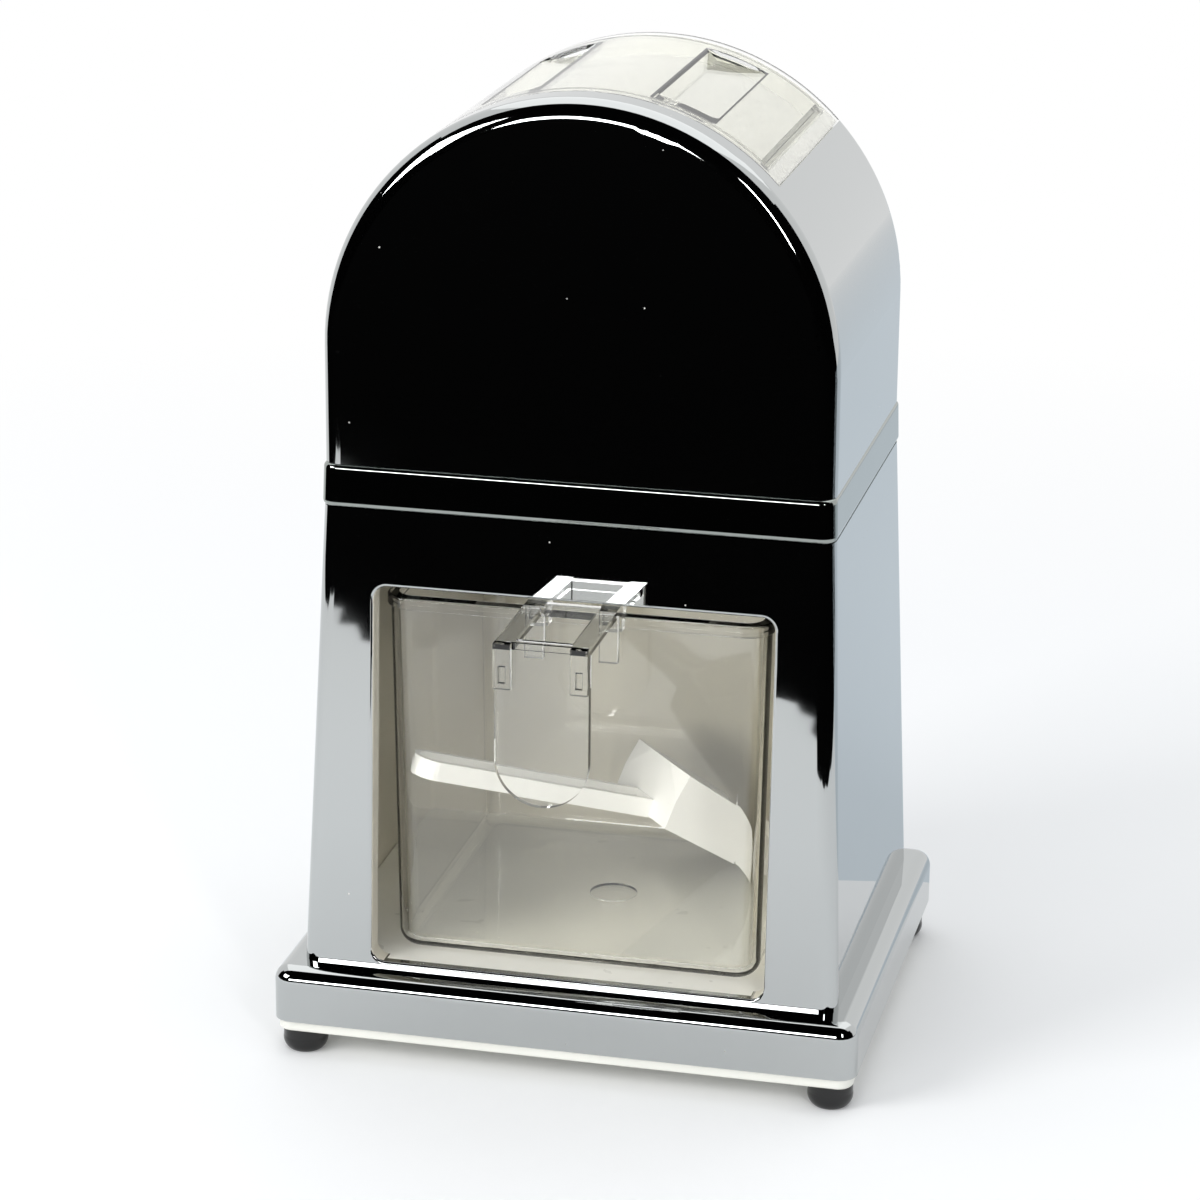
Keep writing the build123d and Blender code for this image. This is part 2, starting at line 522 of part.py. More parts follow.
def hopper():
    y0, y1 = mouth_planes()
    funnel_z = CHAMBER_Z + FUNNEL_TOP_RISE
    throat_z = CHAMBER_Z + CHAMBER_H
    w = HOPPER_WALL
    half = MOUTH_W / 2
    under = arch(SKIN + FACE_GAP, funnel_z)
    wide = half + MOUTH_SHOULDER
    bulk = under & block(-wide, wide, y0 - 2 * w, REAR_Y, funnel_z, TOP_Z)
    below_rim = arch(SKIN + FACE_GAP + HOPPER_RIM_T, funnel_z - 1)
    walls = block(-half - w, half + w, y0 - w, y1 + w, funnel_z, TOP_Z)
    upper = (bulk - below_rim) + (under & walls)
    y_mid, depth = (y0 + y1) / 2, y1 - y0
    top = Pos(0, y_mid, funnel_z) * Rectangle(MOUTH_W + 2 * w, depth + 2 * w)
    low = Pos(0, 0, throat_z) * Rectangle(CHAMBER_W + 2 * w, CHAMBER_D + 2 * w)
    funnel = loft([low, top], ruled=True)
    side = CHAMBER_W / 2 + w
    chamber = block(-side, side, -CHAMBER_Y - w, CHAMBER_Y + w, CHAMBER_Z, throat_z)
    flange_w, flange_d = 2 * (side + CHAMBER_FLANGE), CHAMBER_D + 2 * w + CHAMBER_FLANGE
    flange = slab(flange_w, flange_d, FLANGE_CORNER, CHAMBER_Z, CHAMBER_Z + FLANGE_T)
    body = upper + funnel + chamber + flange
    body -= block(-half, half, y0, y1, funnel_z, TOP_Z + 1)
    top_in = Pos(0, y_mid, funnel_z) * Rectangle(MOUTH_W, depth)
    low_in = Pos(0, 0, throat_z) * Rectangle(CHAMBER_W, CHAMBER_D)
    body -= loft([low_in, top_in], ruled=True)
    body -= block(-CHAMBER_W / 2, CHAMBER_W / 2, -CHAMBER_Y, CHAMBER_Y, CHAMBER_Z - 1, throat_z)
    for sx in (-1, 1):
        x0, x1 = sorted((sx * (CHAMBER_W / 2 + w / 2), sx * (CHAMBER_W / 2 - COMB_LEDGE_W)))
        body += block(x0, x1, -CHAMBER_Y - w / 2, CHAMBER_Y + w / 2, comb_z() - COMB_LEDGE_H, comb_z())
        for x, y in comb_screw_places(sx):
            body -= Pos(x, y, comb_z()) * Cylinder(SCREW_R + SCREW_GAP, 4 * COMB_LEDGE_H)
    body -= rod(FRONT_JOURNAL_R + BUSH_WALL + FACE_GAP, -CHAMBER_Y - 2 * w, -CHAMBER_Y + 1, 0, AXIS_Z)
    body -= rod(REAR_JOURNAL_R + BUSH_WALL + FACE_GAP, CHAMBER_Y - 1, CHAMBER_Y + 2 * w, 0, AXIS_Z)
    for x, y in deck_screw_places():
        body -= Pos(x, y, CHAMBER_Z) * Cylinder(SCREW_R + SCREW_GAP, 4 * FLANGE_T)
    return body


def chute_sleeve(wall):
    """Outline of the chute, grown by wall on all sides."""
    width, depth = CHAMBER_W + 2 * wall, CHAMBER_D + 2 * wall
    high = Pos(0, 0, DECK_Z) * Rectangle(width, depth)
    low = Pos(0, 0, DECK_Z - CHUTE_H) * Rectangle(width + 2 * CHUTE_FLARE, depth)
    return loft([low, high], ruled=True)


def chute():
    """Open funnel under the deck that drops the crushed ice into the drawer."""
    flange_w = CHAMBER_W + 2 * (HOPPER_WALL + CHAMBER_FLANGE)
    flange_d = CHAMBER_D + 2 * (CHUTE_WALL + CHUTE_FLANGE)
    flange = slab(flange_w, flange_d, FLANGE_CORNER, DECK_Z - FLANGE_T, DECK_Z)
    body = chute_sleeve(CHUTE_WALL) + flange - chute_sleeve(0)
    for x, y in deck_screw_places():
        body -= Pos(x, y, DECK_Z) * Cylinder(SCREW_R + SCREW_GAP, 4 * FLANGE_T)
    return body


def comb(side, finger_w):
    """Fixed comb on one side of the chamber; its fingers stand between the rotor blades."""
    back_x = CHAMBER_W / 2 - FACE_GAP
    root_x = back_x - COMB_BACK
    tip_x = sqrt((HUB_R + COMB_TIP_GAP) ** 2 - COMB_DROP ** 2)
    half_d = CHAMBER_Y - SEAT_GAP
    outline = Pos((root_x + back_x) / 2, 0) * Rectangle(back_x - root_x, 2 * half_d)
    length = root_x - tip_x
    for i in range(BLADE_COUNT - 1):
        y = (i - (BLADE_COUNT - 2) / 2) * BLADE_PITCH
        finger = Pos((root_x + tip_x) / 2, y) * Rectangle(length, finger_w)
        tip = finger.vertices().group_by(Axis.X)[0]
        outline += fillet(tip, finger_w * FINGER_ROUND)
    end_w = half_d - (BLADE_COUNT - 1) * BLADE_PITCH / 2 - (BLADE_PITCH - finger_w) / 2
    for sy in (-1, 1):
        outline += Pos((root_x + tip_x) / 2, sy * (half_d - end_w / 2)) * Rectangle(length, end_w)
    plate = extrude(Pos(0, 0, comb_z()) * outline, COMB_T)
    plate = plate if side > 0 else mirror(plate, Plane.YZ)
    for x, y in comb_screw_places(side):
        plate -= Pos(x, y, comb_z()) * Cylinder(SCREW_R + SCREW_GAP, 4 * COMB_T)
    return plate


# ---- rotor -------------------------------------------------------------------------------------
def hexagon(gap):
    return RegularPolygon((HEX_FLATS / 2 + gap) / cos(radians(30)), 6)


def polar(radius, angle):
    return (radius * cos(radians(angle)), radius * sin(radians(angle)))


def tooth(turn):
    """One pointed tooth with hollow flanks."""
    waist_r = (BLADE_ROOT_R + BLADE_R) / 2
    foot_r = BLADE_ROOT_R - TOOTH_SINK
    left = [polar(foot_r, turn - TOOTH_ROOT_ANGLE), polar(waist_r, turn - TOOTH_WAIST_ANGLE),
            polar(BLADE_R, turn - TOOTH_TIP_ANGLE)]
    right = [polar(BLADE_R, turn + TOOTH_TIP_ANGLE), polar(waist_r, turn + TOOTH_WAIST_ANGLE),
             polar(foot_r, turn + TOOTH_ROOT_ANGLE)]
    return make_face([
        ThreePointArc(*left),
        ThreePointArc(left[2], polar(BLADE_R, turn), right[0]),
        ThreePointArc(*right),
        Line(right[2], left[0]),
    ])


def rotor_blade(index):
    """Star blade number index, counted from the front, on the hexagonal shaft."""
    outline = Circle(BLADE_ROOT_R)
    for i in range(BLADE_TEETH):
        outline += tooth(index * BLADE_STAGGER + i * 360 / BLADE_TEETH)
    outline -= hexagon(HEX_GAP)
    y = (index - (BLADE_COUNT - 1) / 2) * BLADE_PITCH
    return Pos(0, 0, AXIS_Z) * along_y(outline, y - BLADE_T / 2, y + BLADE_T / 2)


def spacer_planes(index):
    """Front and rear planes of the spacer in front of blade number index."""
    first = (index - (BLADE_COUNT - 1) / 2) * BLADE_PITCH - BLADE_T / 2
    if index == 0:
        return -STACK_HALF, first
    if index == BLADE_COUNT:
        return STACK_HALF - END_SPACER, STACK_HALF
    return first - BLADE_PITCH + BLADE_T, first


def rotor_spacer(index):
    y0, y1 = spacer_planes(index)
    return Pos(0, 0, AXIS_Z) * along_y(Circle(HUB_R) - hexagon(HEX_GAP), y0, y1)


def rotor_shaft():
    """Hexagonal in the chamber, round in the bushes, square in the crank, threaded at the end."""
    clip_y0, clip_y1 = clip_planes()
    front_y = clip_y0 - SHAFT_NOSE
    core = along_y(hexagon(0), -STACK_HALF, STACK_HALF)
    core += rod(FRONT_JOURNAL_R, front_y, -STACK_HALF)
    core += rod(REAR_JOURNAL_R, STACK_HALF, HUB_Y)
    core += along_y(Rectangle(SQUARE_W, SQUARE_W), HUB_Y, ARM_Y - SQUARE_SHORT)
    core += rod(STUD_R, HUB_Y, ARM_Y + NUT_H - NUT_CROWN)
    groove_r = FRONT_JOURNAL_R - GROOVE_DEPTH
    core -= ring(FRONT_JOURNAL_R + 1, groove_r, clip_y0 - FACE_GAP, clip_y1 + FACE_GAP)
    return Pos(0, 0, AXIS_Z) * core


def clip_planes():
    rear = -CHAMBER_Y - HOPPER_WALL - END_PLAY
    return rear - CLIP_T, rear


def retaining_clip():
    y0, y1 = clip_planes()
    inner = FRONT_JOURNAL_R - GROOVE_DEPTH + RUNNING_GAP
    mouth = Pos(0, -FRONT_JOURNAL_R) * Rectangle(2 * inner * CLIP_MOUTH, 2 * FRONT_JOURNAL_R)
    outline = Circle(FRONT_JOURNAL_R + CLIP_W) - Circle(inner) - mouth
    return Pos(0, 0, AXIS_Z) * along_y(outline, y0, y1)


def flanged_bush(journal_r, flange_r, y0, y1, flange_y0, flange_y1):
    """Plain bearing pressed into a wall from y0 to y1, with a flange on one side of the wall."""
    outer = journal_r + BUSH_WALL
    flange = rod(flange_r, flange_y0, flange_y1)
    ends = (y0, y1, flange_y0, flange_y1)
    bore = rod(journal_r + RUNNING_GAP, min(ends) - 1, max(ends) + 1)
    return Pos(0, 0, AXIS_Z) * (rod(outer, y0, y1) + flange - bore)


def front_bearing():
    flange_r = FRONT_JOURNAL_R + BUSH_WALL + BUSH_FLANGE
    wall_y = -CHAMBER_Y - HOPPER_WALL
    return flanged_bush(FRONT_JOURNAL_R, flange_r, wall_y, -CHAMBER_Y, -CHAMBER_Y, -STACK_HALF - END_PLAY)


def middle_bearing():
    flange_r = REAR_JOURNAL_R + BUSH_WALL + BUSH_FLANGE
    wall_y = CHAMBER_Y + HOPPER_WALL
    return flanged_bush(REAR_JOURNAL_R, flange_r, CHAMBER_Y, wall_y, STACK_HALF + END_PLAY, CHAMBER_Y)


def rear_bearing():
    """Bush in the dome's rear wall, with a boss that stands out under the crank."""
    bush = flanged_bush(REAR_JOURNAL_R, REAR_BOSS_R, REAR_Y - SKIN, REAR_Y, REAR_Y, BUSH_OUT_Y)
    outer_edge = bush.edges().filter_by(GeomType.CIRCLE).group_by(Axis.Y)[-1].sort_by(SortBy.LENGTH)[-1:]
    return chamfer(outer_edge, REAR_BOSS_EDGE)


# ---- crank -------------------------------------------------------------------------------------
def thrust_washer():
    return ring(WASHER_R, REAR_JOURNAL_R + RUNNING_GAP, HUB_Y - WASHER_T, HUB_Y, 0, AXIS_Z)


def crank_arm():
    """Flat arm that narrows from the hub to a waist and widens again round the knob's pin."""
    top, low = AXIS_Z, PIN_Z
    mid = (top + low) / 2
    hub_x, tip_x = CRANK_HUB_R * CRANK_MEET, CRANK_TIP_R * CRANK_MEET
    side = make_face([
        Line((-hub_x, top), (hub_x, top)),
        Spline((hub_x, top), (CRANK_WAIST_R, mid), (tip_x, low)),
        Line((tip_x, low), (-tip_x, low)),
        Spline((-tip_x, low), (-CRANK_WAIST_R, mid), (-hub_x, top)),
    ])
    outline = side + Pos(0, top) * Circle(CRANK_HUB_R) + Pos(0, low) * Circle(CRANK_TIP_R)
    arm = along_y(outline, HUB_Y, ARM_Y)
    across = SQUARE_W + 2 * FACE_GAP
    arm -= Pos(0, 0, AXIS_Z) * along_y(Rectangle(across, across), HUB_Y - 1, ARM_Y + 1)
    return arm - rod(PIN_TAIL_R + FACE_GAP, HUB_Y - 1, ARM_Y + 1, 0, PIN_Z)


def crank_nut():
    """Domed nut that holds the crank on the shaft."""
    body = along_y(RegularPolygon(NUT_R, 6), ARM_Y, ARM_Y + NUT_H * NUT_HEX_SHARE)
    body += rod(NUT_DOME_R, ARM_Y, ARM_Y + NUT_H)
    end = body.faces().sort_by(Axis.Y)[-1]
    body = fillet(end.edges(), NUT_DOME_EDGE)
    body -= rod(STUD_R + FACE_GAP, ARM_Y - 1, ARM_Y + NUT_H - NUT_CROWN + FACE_GAP)
    return Pos(0, 0, AXIS_Z) * body


def knob_pin():
    """Shoulder pin riveted into the arm; the knob turns on it."""
    head_y = KNOB_Y + KNOB_LENGTH - KNOB_RECESS_H + SEAT_GAP
    pin = rod(PIN_TAIL_R, HUB_Y, ARM_Y) + rod(PIN_R, ARM_Y, head_y)
    return Pos(0, 0, PIN_Z) * (pin + rod(PIN_HEAD_R, head_y, head_y + PIN_HEAD_H))


def crank_knob():
    """Barrel-shaped grip that spins on the pin."""
    y0, y1 = KNOB_Y, KNOB_Y + KNOB_LENGTH
    recess_y = y1 - KNOB_RECESS_H
    inner = PIN_R + RUNNING_GAP
    neck, end = KNOB_NECK_EDGE, KNOB_END_EDGE
    bow = 1 - cos(radians(45))
    belly = (KNOB_BELLY_R, y0 + KNOB_LENGTH * KNOB_BELLY_AT)
    neck_mid = (KNOB_NECK_R - neck * bow, y0 + neck * bow)
    end_mid = (KNOB_END_R - end * bow, y1 - end * bow)
    profile = make_face([
        Line((inner, y0), (KNOB_NECK_R - neck, y0)),
        ThreePointArc((KNOB_NECK_R - neck, y0), neck_mid, (KNOB_NECK_R, y0 + neck)),
        Spline((KNOB_NECK_R, y0 + neck), belly, (KNOB_END_R, y1 - end)),
        ThreePointArc((KNOB_END_R, y1 - end), end_mid, (KNOB_END_R - end, y1)),
        Line((KNOB_END_R - end, y1), (KNOB_RECESS_R, y1)),
        Line((KNOB_RECESS_R, y1), (KNOB_RECESS_R, recess_y)),
        Line((KNOB_RECESS_R, recess_y), (inner, recess_y)),
        Line((inner, recess_y), (inner, y0)),
    ])
    return Pos(0, 0, PIN_Z) * revolve(profile, Axis.Y)


def knob_cap():
    y1 = KNOB_Y + KNOB_LENGTH
    disc = rod(KNOB_RECESS_R - FACE_GAP, y1 - CAP_H, y1, 0, PIN_Z)
    return fillet(disc.faces().sort_by(Axis.Y)[-1].edges(), CAP_EDGE)


# ---- drawer ------------------------------------------------------------------------------------
def drawer():
    low = (DRAWER_BOTTOM_W, DRAWER_BOTTOM_D, DRAWER_CORNER)
    high = (DRAWER_TOP_W, DRAWER_TOP_D, DRAWER_CORNER)
    outer = taper(low, high, FLOOR_Z, RIM_Z)
    outer = fillet(outer.faces().sort_by(Axis.Z)[0].edges(), DRAWER_BASE_EDGE)
    bead_w, bead_d = DRAWER_TOP_W + 2 * RIM_BEAD, DRAWER_TOP_D + 2 * RIM_BEAD
    bead = slab(bead_w, bead_d, DRAWER_CORNER + RIM_BEAD, RIM_Z - RIM_H, RIM_Z)
    bead = fillet(bead.faces().filter_by(Axis.Z).edges(), RIM_EDGE)
    w = DRAWER_WALL
    low_in = (DRAWER_BOTTOM_W - 2 * w, DRAWER_BOTTOM_D - 2 * w, DRAWER_CORNER - w)
    high_in = (DRAWER_TOP_W - 2 * w, DRAWER_TOP_D - 2 * w, DRAWER_CORNER - w)
    inner = taper(low_in, high_in, FLOOR_Z + w, RIM_Z)
    inner = fillet(inner.faces().sort_by(Axis.Z)[0].edges(), DRAWER_BASE_EDGE - w)
    gate = Pos(0, 0, FLOOR_Z + w - GATE_DEPTH) * extrude(Circle(GATE_R), 2 * GATE_DEPTH)
    return Pos(0, DRAWER_Y, SEAT_GAP) * (outer + bead - inner - gate)


def drawer_handle():
    """Clip-on handle: two arms hooked over the rim, and a tongue that hangs in front."""
    half = HANDLE_W / 2
    z0 = RIM_Z + SEAT_GAP + CLIP_GAP
    z1 = z0 + HANDLE_T
    wall_in = DRAWER_FRONT_Y + DRAWER_WALL + CLIP_GAP
    wall_out = DRAWER_FRONT_Y - RIM_BEAD - CLIP_GAP
    hook_y = wall_in + HOOK_DEPTH
    body = block(-half, half, TONGUE_Y, TONGUE_Y + HANDLE_BAR, z0, z1)
    body += block(-half, half, wall_out - HANDLE_REAR_BAR, wall_out, z0, z1)
    for side in (-1, 1):
        x0, x1 = sorted((side * half, side * (half - HANDLE_ARM_W)))
        body += block(x0, x1, TONGUE_Y, hook_y, z0, z1)
        body += block(x0, x1, wall_in, hook_y, z0 - HOOK_DROP, z0)
        body += block(x0, x1, wall_out - CLIP_LEG_T, wall_out, z0 - CLIP_LEG_H, z0)
    hook_edges = body.edges().filter_by(Axis.X).group_by(Axis.Y)[-1].group_by(Axis.Z)[-1]
    body = fillet(hook_edges, HOOK_EDGE)
    low = z1 - TONGUE_H
    bow_z = low + half
    face = Pos(0, (z0 + bow_z) / 2) * Rectangle(HANDLE_W, z0 - bow_z) + Pos(0, bow_z) * Circle(half)
    body += along_y(face, TONGUE_Y, TONGUE_Y + TONGUE_T)
    for side in (-1, 1):
        x0, x1 = sorted((side * half, side * (half - EAR_W)))
        ear = block(x0, x1, TONGUE_Y - EAR_T, TONGUE_Y, z1 - EAR_H, z1)
        slot_x = (x0 + x1) / 2
        slot_z = z1 - EAR_H + EAR_SLOT_RISE
        ear -= block(slot_x - EAR_SLOT_W / 2, slot_x + EAR_SLOT_W / 2, TONGUE_Y - 2 * EAR_T, TONGUE_Y,
                     slot_z, slot_z + EAR_SLOT_H)
        body += ear
    return body


# ---- scoop -------------------------------------------------------------------------------------
def scoop_grip(inset):
    """Upper outline of the grip, a channel with a round end, from the origin along +X."""
    r = SCOOP_GRIP_W / 2 - inset
    plan = Pos((r + SCOOP_GRIP_L) / 2, 0) * Rectangle(SCOOP_GRIP_L - 2 * inset - r, 2 * r)
    plan += Pos(inset + r, 0) * Circle(r)
    return extrude(Pos(0, 0, inset) * plan, SCOOP_GRIP_H + 4 * inset)


def scoop_head(inset):
    """Outline of the head from the origin along +X: short shoulders, tall sides and a flat floor."""
    neck, half = SCOOP_GRIP_W / 2 - inset, SCOOP_HEAD_W / 2 - inset
    far = SCOOP_HEAD_L + 2 * inset
    foot_x = inset - SCOOP_WALL
    heel = foot_x - SCOOP_BACK_LEAN
    rise = 2 * inset
    plan = make_face(Polyline((heel, -neck), (SCOOP_SHOULDER + heel, -half), (far, -half), (far, half),
                              (SCOOP_SHOULDER + heel, half), (heel, neck), close=True))
    plan = extrude(plan, SCOOP_HEAD_H + rise)
    if inset == 0:
        tip = [e for e in plan.edges().filter_by(Axis.Z) if e.center().X > SCOOP_RIM_RUN]
        plan = fillet(tip, SCOOP_TIP_R)
    side = wedge([
        (foot_x, inset),
        (far, inset),
        (far, SCOOP_TIP_H + rise),
        (SCOOP_RIM_RUN, SCOOP_HEAD_H - SCOOP_RIM_FALL + rise),
        (heel, SCOOP_HEAD_H + rise),
    ])
    return plan & extrude(Plane.XZ * side, SCOOP_HEAD_W, both=True)


def scoop_at_origin():
    """Scoop with its grip's round end at the origin and its grip along +X."""
    bend = Pos(SCOOP_GRIP_L, 0, 0) * Rot(0, SCOOP_BEND, 0)
    body = scoop_grip(0) + bend * scoop_head(0)
    return body - bend * scoop_head(SCOOP_WALL) - scoop_grip(SCOOP_WALL)


def scoop():
    """Scoop as it lies in the drawer."""
    turned = Rot(0, 0, SCOOP_HEADING) * Rot(0, SCOOP_PITCH, 0) * scoop_at_origin()
    drop = FLOOR_Z + SEAT_GAP + DRAWER_WALL + SCOOP_FLOAT - turned.bounding_box().min.Z
    return Pos(SCOOP_X, DRAWER_Y + SCOOP_Y, drop) * turned


# ---- screw groups ------------------------------------------------------------------------------
def foot_screws():
    return Compound([Pos(x, y, FOOT_RECESS_H) * screw(FOOT_SCREW_L, False) for x, y in FEET])


def deck_screws():
    z = DECK_Z - FLANGE_T
    return Compound([Pos(x, y, z) * screw(DECK_SCREW_L, False) for x, y in deck_screw_places()])


def comb_screws():
    places = comb_screw_places(-1) + comb_screw_places(1)
    return Compound([Pos(x, y, comb_z() + COMB_T) * screw(COMB_SCREW_L) for x, y in places])


# ---- all pieces --------------------------------------------------------------------------------
PIECES = {
    "bottom_cover": bottom_cover,
    "base_plinth": base_plinth,
    "base_floor": base_floor,
    "lower_housing": lower_housing,
    "collar_ring": collar_ring,
    "dome": dome,
    "hopper": hopper,
    "chute": chute,
    "coarse_comb": lambda: comb(-1, COARSE_FINGER_W),
    "fine_comb": lambda: comb(1, FINE_FINGER_W),
    "front_bearing": front_bearing,
    "middle_bearing": middle_bearing,
    "rear_bearing": rear_bearing,
    "foot_screws": foot_screws,
    "deck_screws": deck_screws,
    "comb_screws": comb_screws,
    "rotor_shaft": rotor_shaft,
    "retaining_clip": retaining_clip,
    "thrust_washer": thrust_washer,
    "crank_arm": crank_arm,
    "crank_nut": crank_nut,
    "knob_pin": knob_pin,
    "crank_knob": crank_knob,
    "knob_cap": knob_cap,
    "lid": lid,
    "drawer": drawer,
    "drawer_handle": drawer_handle,
    "scoop": scoop,
}
for foot_x, foot_y in FEET:
    name = "foot_" + ("front_" if foot_y < 0 else "rear_") + ("left" if foot_x < 0 else "right")
    PIECES[name] = lambda x=foot_x, y=foot_y: foot(x, y)
for number in range(BLADE_COUNT):
    PIECES[f"rotor_blade_{number + 1}"] = lambda n=number: rotor_blade(n)
for number in range(BLADE_COUNT + 1):
    PIECES[f"rotor_spacer_{number + 1}"] = lambda n=number: rotor_spacer(n)

os.makedirs("parts", exist_ok=True)
for node, build in PIECES.items():
    export_step(Pos(0, ORIGIN_SHIFT, 0) * build(), f"parts/{node}.step")
print("origin shift", ORIGIN_SHIFT, "axis height", AXIS_Z, "pin height", PIN_Z, "top", TOP_Z)
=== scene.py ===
"""Looks of the hand crank ice crusher: finishes for every piece, studio floor and lights, camera."""

import math

import bpy
from bpy.props import FloatProperty, FloatVectorProperty, PointerProperty
from bpy.types import Operator, Panel, PropertyGroup
from mathutils import Matrix, Vector


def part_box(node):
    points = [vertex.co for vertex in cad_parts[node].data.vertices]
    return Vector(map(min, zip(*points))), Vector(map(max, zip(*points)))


bl_info = {
    "name": "Hand Crank Ice Crusher",
    "version": (1, 0, 0),
    "blender": (4, 5, 0),
    "location": "View3D > Sidebar > Crusher",
    "description": "Finishes, studio and camera for a plated hand crank ice crusher",
    "category": "Object",
}

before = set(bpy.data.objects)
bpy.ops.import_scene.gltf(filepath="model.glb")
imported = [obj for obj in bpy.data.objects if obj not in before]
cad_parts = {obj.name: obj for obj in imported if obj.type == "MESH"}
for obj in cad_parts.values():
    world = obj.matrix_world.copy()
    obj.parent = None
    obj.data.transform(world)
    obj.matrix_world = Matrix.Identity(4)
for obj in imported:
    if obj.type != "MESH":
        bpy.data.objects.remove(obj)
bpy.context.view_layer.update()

MM = 0.001
PHOTO_SIDE = 1200            # the picture is square, in pixels
SENSOR = 36.0                # camera sensor width in mm
BODY_MIDDLE = (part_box("base_plinth")[0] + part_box("base_plinth")[1]) / 2
UNDER_BODY = Vector((BODY_MIDDLE.x, BODY_MIDDLE.y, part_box("foot_front_left")[0].z))

# studio, in metres from the floor under the body's middle unless a line says otherwise
STUDIO_HALF = 8.0            # the floor reaches this far each way
AIM_HEIGHT = 0.13            # lamps point at this height on the body
FLOOR_FADE = (0.3, 0.7)      # from the frame's origin: the floor paper goes to plain white between these
CARD_FADE = (0.6, 2.6)       # from the frame's origin: the blue-grey card thins out between these
CARD_LIFT = 0.002            # cards lie this far above the floor
TENT_FRONT = -1.75           # black cloth tent: its front, height and the back edge of its roof
TENT_H = 2.2
TENT_ROOF_BACK = -0.2
CLIP = (0.01, 100)           # from the camera: what it sees lies between these
# card behind and to the right, which the right side's mirror shows as pale blue-grey
BLUE_GREY_CARD_MM = ((45, 90), (900, 90), (900, 3000), (45, 3000))
# near edge of the black cloth on the floor: it runs round the crusher from left to right, and the front's
# mirror shows its ragged middle as the ragged edge of black on the two pillars
CLOTH_EDGE_MM = (
    (-2500, 300), (-900, 200), (-580, 60), (-540, -250), (-430, -470), (-260, -575),
    (-218, -551), (-207, -545), (-201, -520), (-195, -522), (-186, -498), (-150, -484), (-90, -470),
    (-20, -464), (-12, -458), (-8, -446), (-2, -440), (0, -422), (7, -405), (12, -375),
    (60, -385), (180, -370), (300, -290), (390, -150), (410, 60), (430, 240), (700, 280), (2500, 300),
)
CLOTH_COLOUR = "#050505"
CARD_COLOUR = "#DBE3E9"
ROOM_COLOUR = "#F2F5F8"
WHITE = "#FFFFFF"

# patterns of the finishes, by their real sizes
WAVE_MM = 26.0               # plating: distance between the slow waves of the moulding
WAVE_DEPTH_MM = 0.03
HAZE_MM = 12.0               # plating: size of the hazed patches
HAZE_RANGE = (0.35, 0.75)    # part of the noise over which the haze comes in
HAZE_BLUR = 2.2              # roughness of the haziest patch over that of clear plating
DUST_SPACING_MM = 7.0        # dust: one speck in each cell this wide, drawn where the patches allow
DUST_SPECK = (0.02, 0.04)    # inner and outer edge of a speck, as shares of the spacing
DUST_PATCH_MM = 31.0
DUST_RANGE = (0.52, 0.6)     # part of the noise over which the specks come in
INWARD = (-0.010, -0.004)    # metres out from the middle, along the face's normal: inside below the first
BARE_ROUGHNESS = 0.34        # unplated moulding inside the housing
SCUFF_MM = 9.0               # clear plastic: size of the scuffed patches
SCUFF_STRETCH = (1.0, 1.0, 0.35)
SCUFF_RANGE = (0.45, 0.8)
SCUFF_ROUGHNESS = 0.05
FLOW_MM = 18.0               # clear plastic: distance between the flow waves
FLOW_DEPTH_MM = 0.02
MOTTLE_MM = 22.0             # opaque plastic: size of the patches of colour
GLOSS_PATCH_MM = 7.0         # opaque plastic: size of the patches of gloss
GLOSS_SPREAD = 0.15          # their roughness goes this share up and down
PLASTIC_IOR = 1.5
MARK_MM = 0.9                # steel: distance between marks, coarser than real so that they show
MARK_DEPTH_MM = 0.012
MARK_SHADE = 0.78            # colour in the marks over colour beside them
MARK_GLOSS = (0.75, 1.3)     # roughness beside the marks and in them, over the mean
NOISE_MIDDLE = (0.3, 0.7)    # most of a noise's values lie between these

FEET = ("foot_front_left", "foot_front_right", "foot_rear_left", "foot_rear_right")


# ---- helpers -------------------------------------------------------------------------------------
def linear(code):
    """Linear RGB of an sRGB hex colour."""
    parts = [int(code[i:i + 2], 16) / 255 for i in (1, 3, 5)]
    return [c / 12.92 if c <= 0.04045 else ((c + 0.055) / 1.055) ** 2.4 for c in parts]


def rgba(colour):
    """Opaque colour."""
    return (*colour[:3], 1.0)


def add(tree, kind, settings=None, links=None):
    """Add a shader node.

    Settings go to its attributes or its inputs, and links gives an input another node's output.
    """
    node = tree.nodes.new(kind)
    for key, value in (settings or {}).items():
        if isinstance(key, str) and hasattr(node, key):
            setattr(node, key, value)
        else:
            node.inputs[key].default_value = value
    for key, source in (links or {}).items():
        tree.links.new(source, node.inputs[key])
    return node


def new_material(name):
    """Empty node material, its tree, and the coordinates on the object in millimetres."""
    material = bpy.data.materials.new(name)
    material.use_nodes = True
    tree = material.node_tree
    tree.nodes.clear()
    place = add(tree, "ShaderNodeTexCoord").outputs["Object"]
    scaled = add(tree, "ShaderNodeVectorMath", {"operation": "SCALE", "Scale": 1 / MM}, {0: place})
    return material, tree, scaled.outputs["Vector"]


def dress(material, *nodes):
    """Give a finish to CAD pieces."""
    for name in nodes:
        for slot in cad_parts[name].material_slots:
            slot.material = material


def nodes_starting(prefix):
    """Names of the CAD nodes that start with the prefix."""
    return [name for name in sorted(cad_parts) if name.startswith(prefix)]


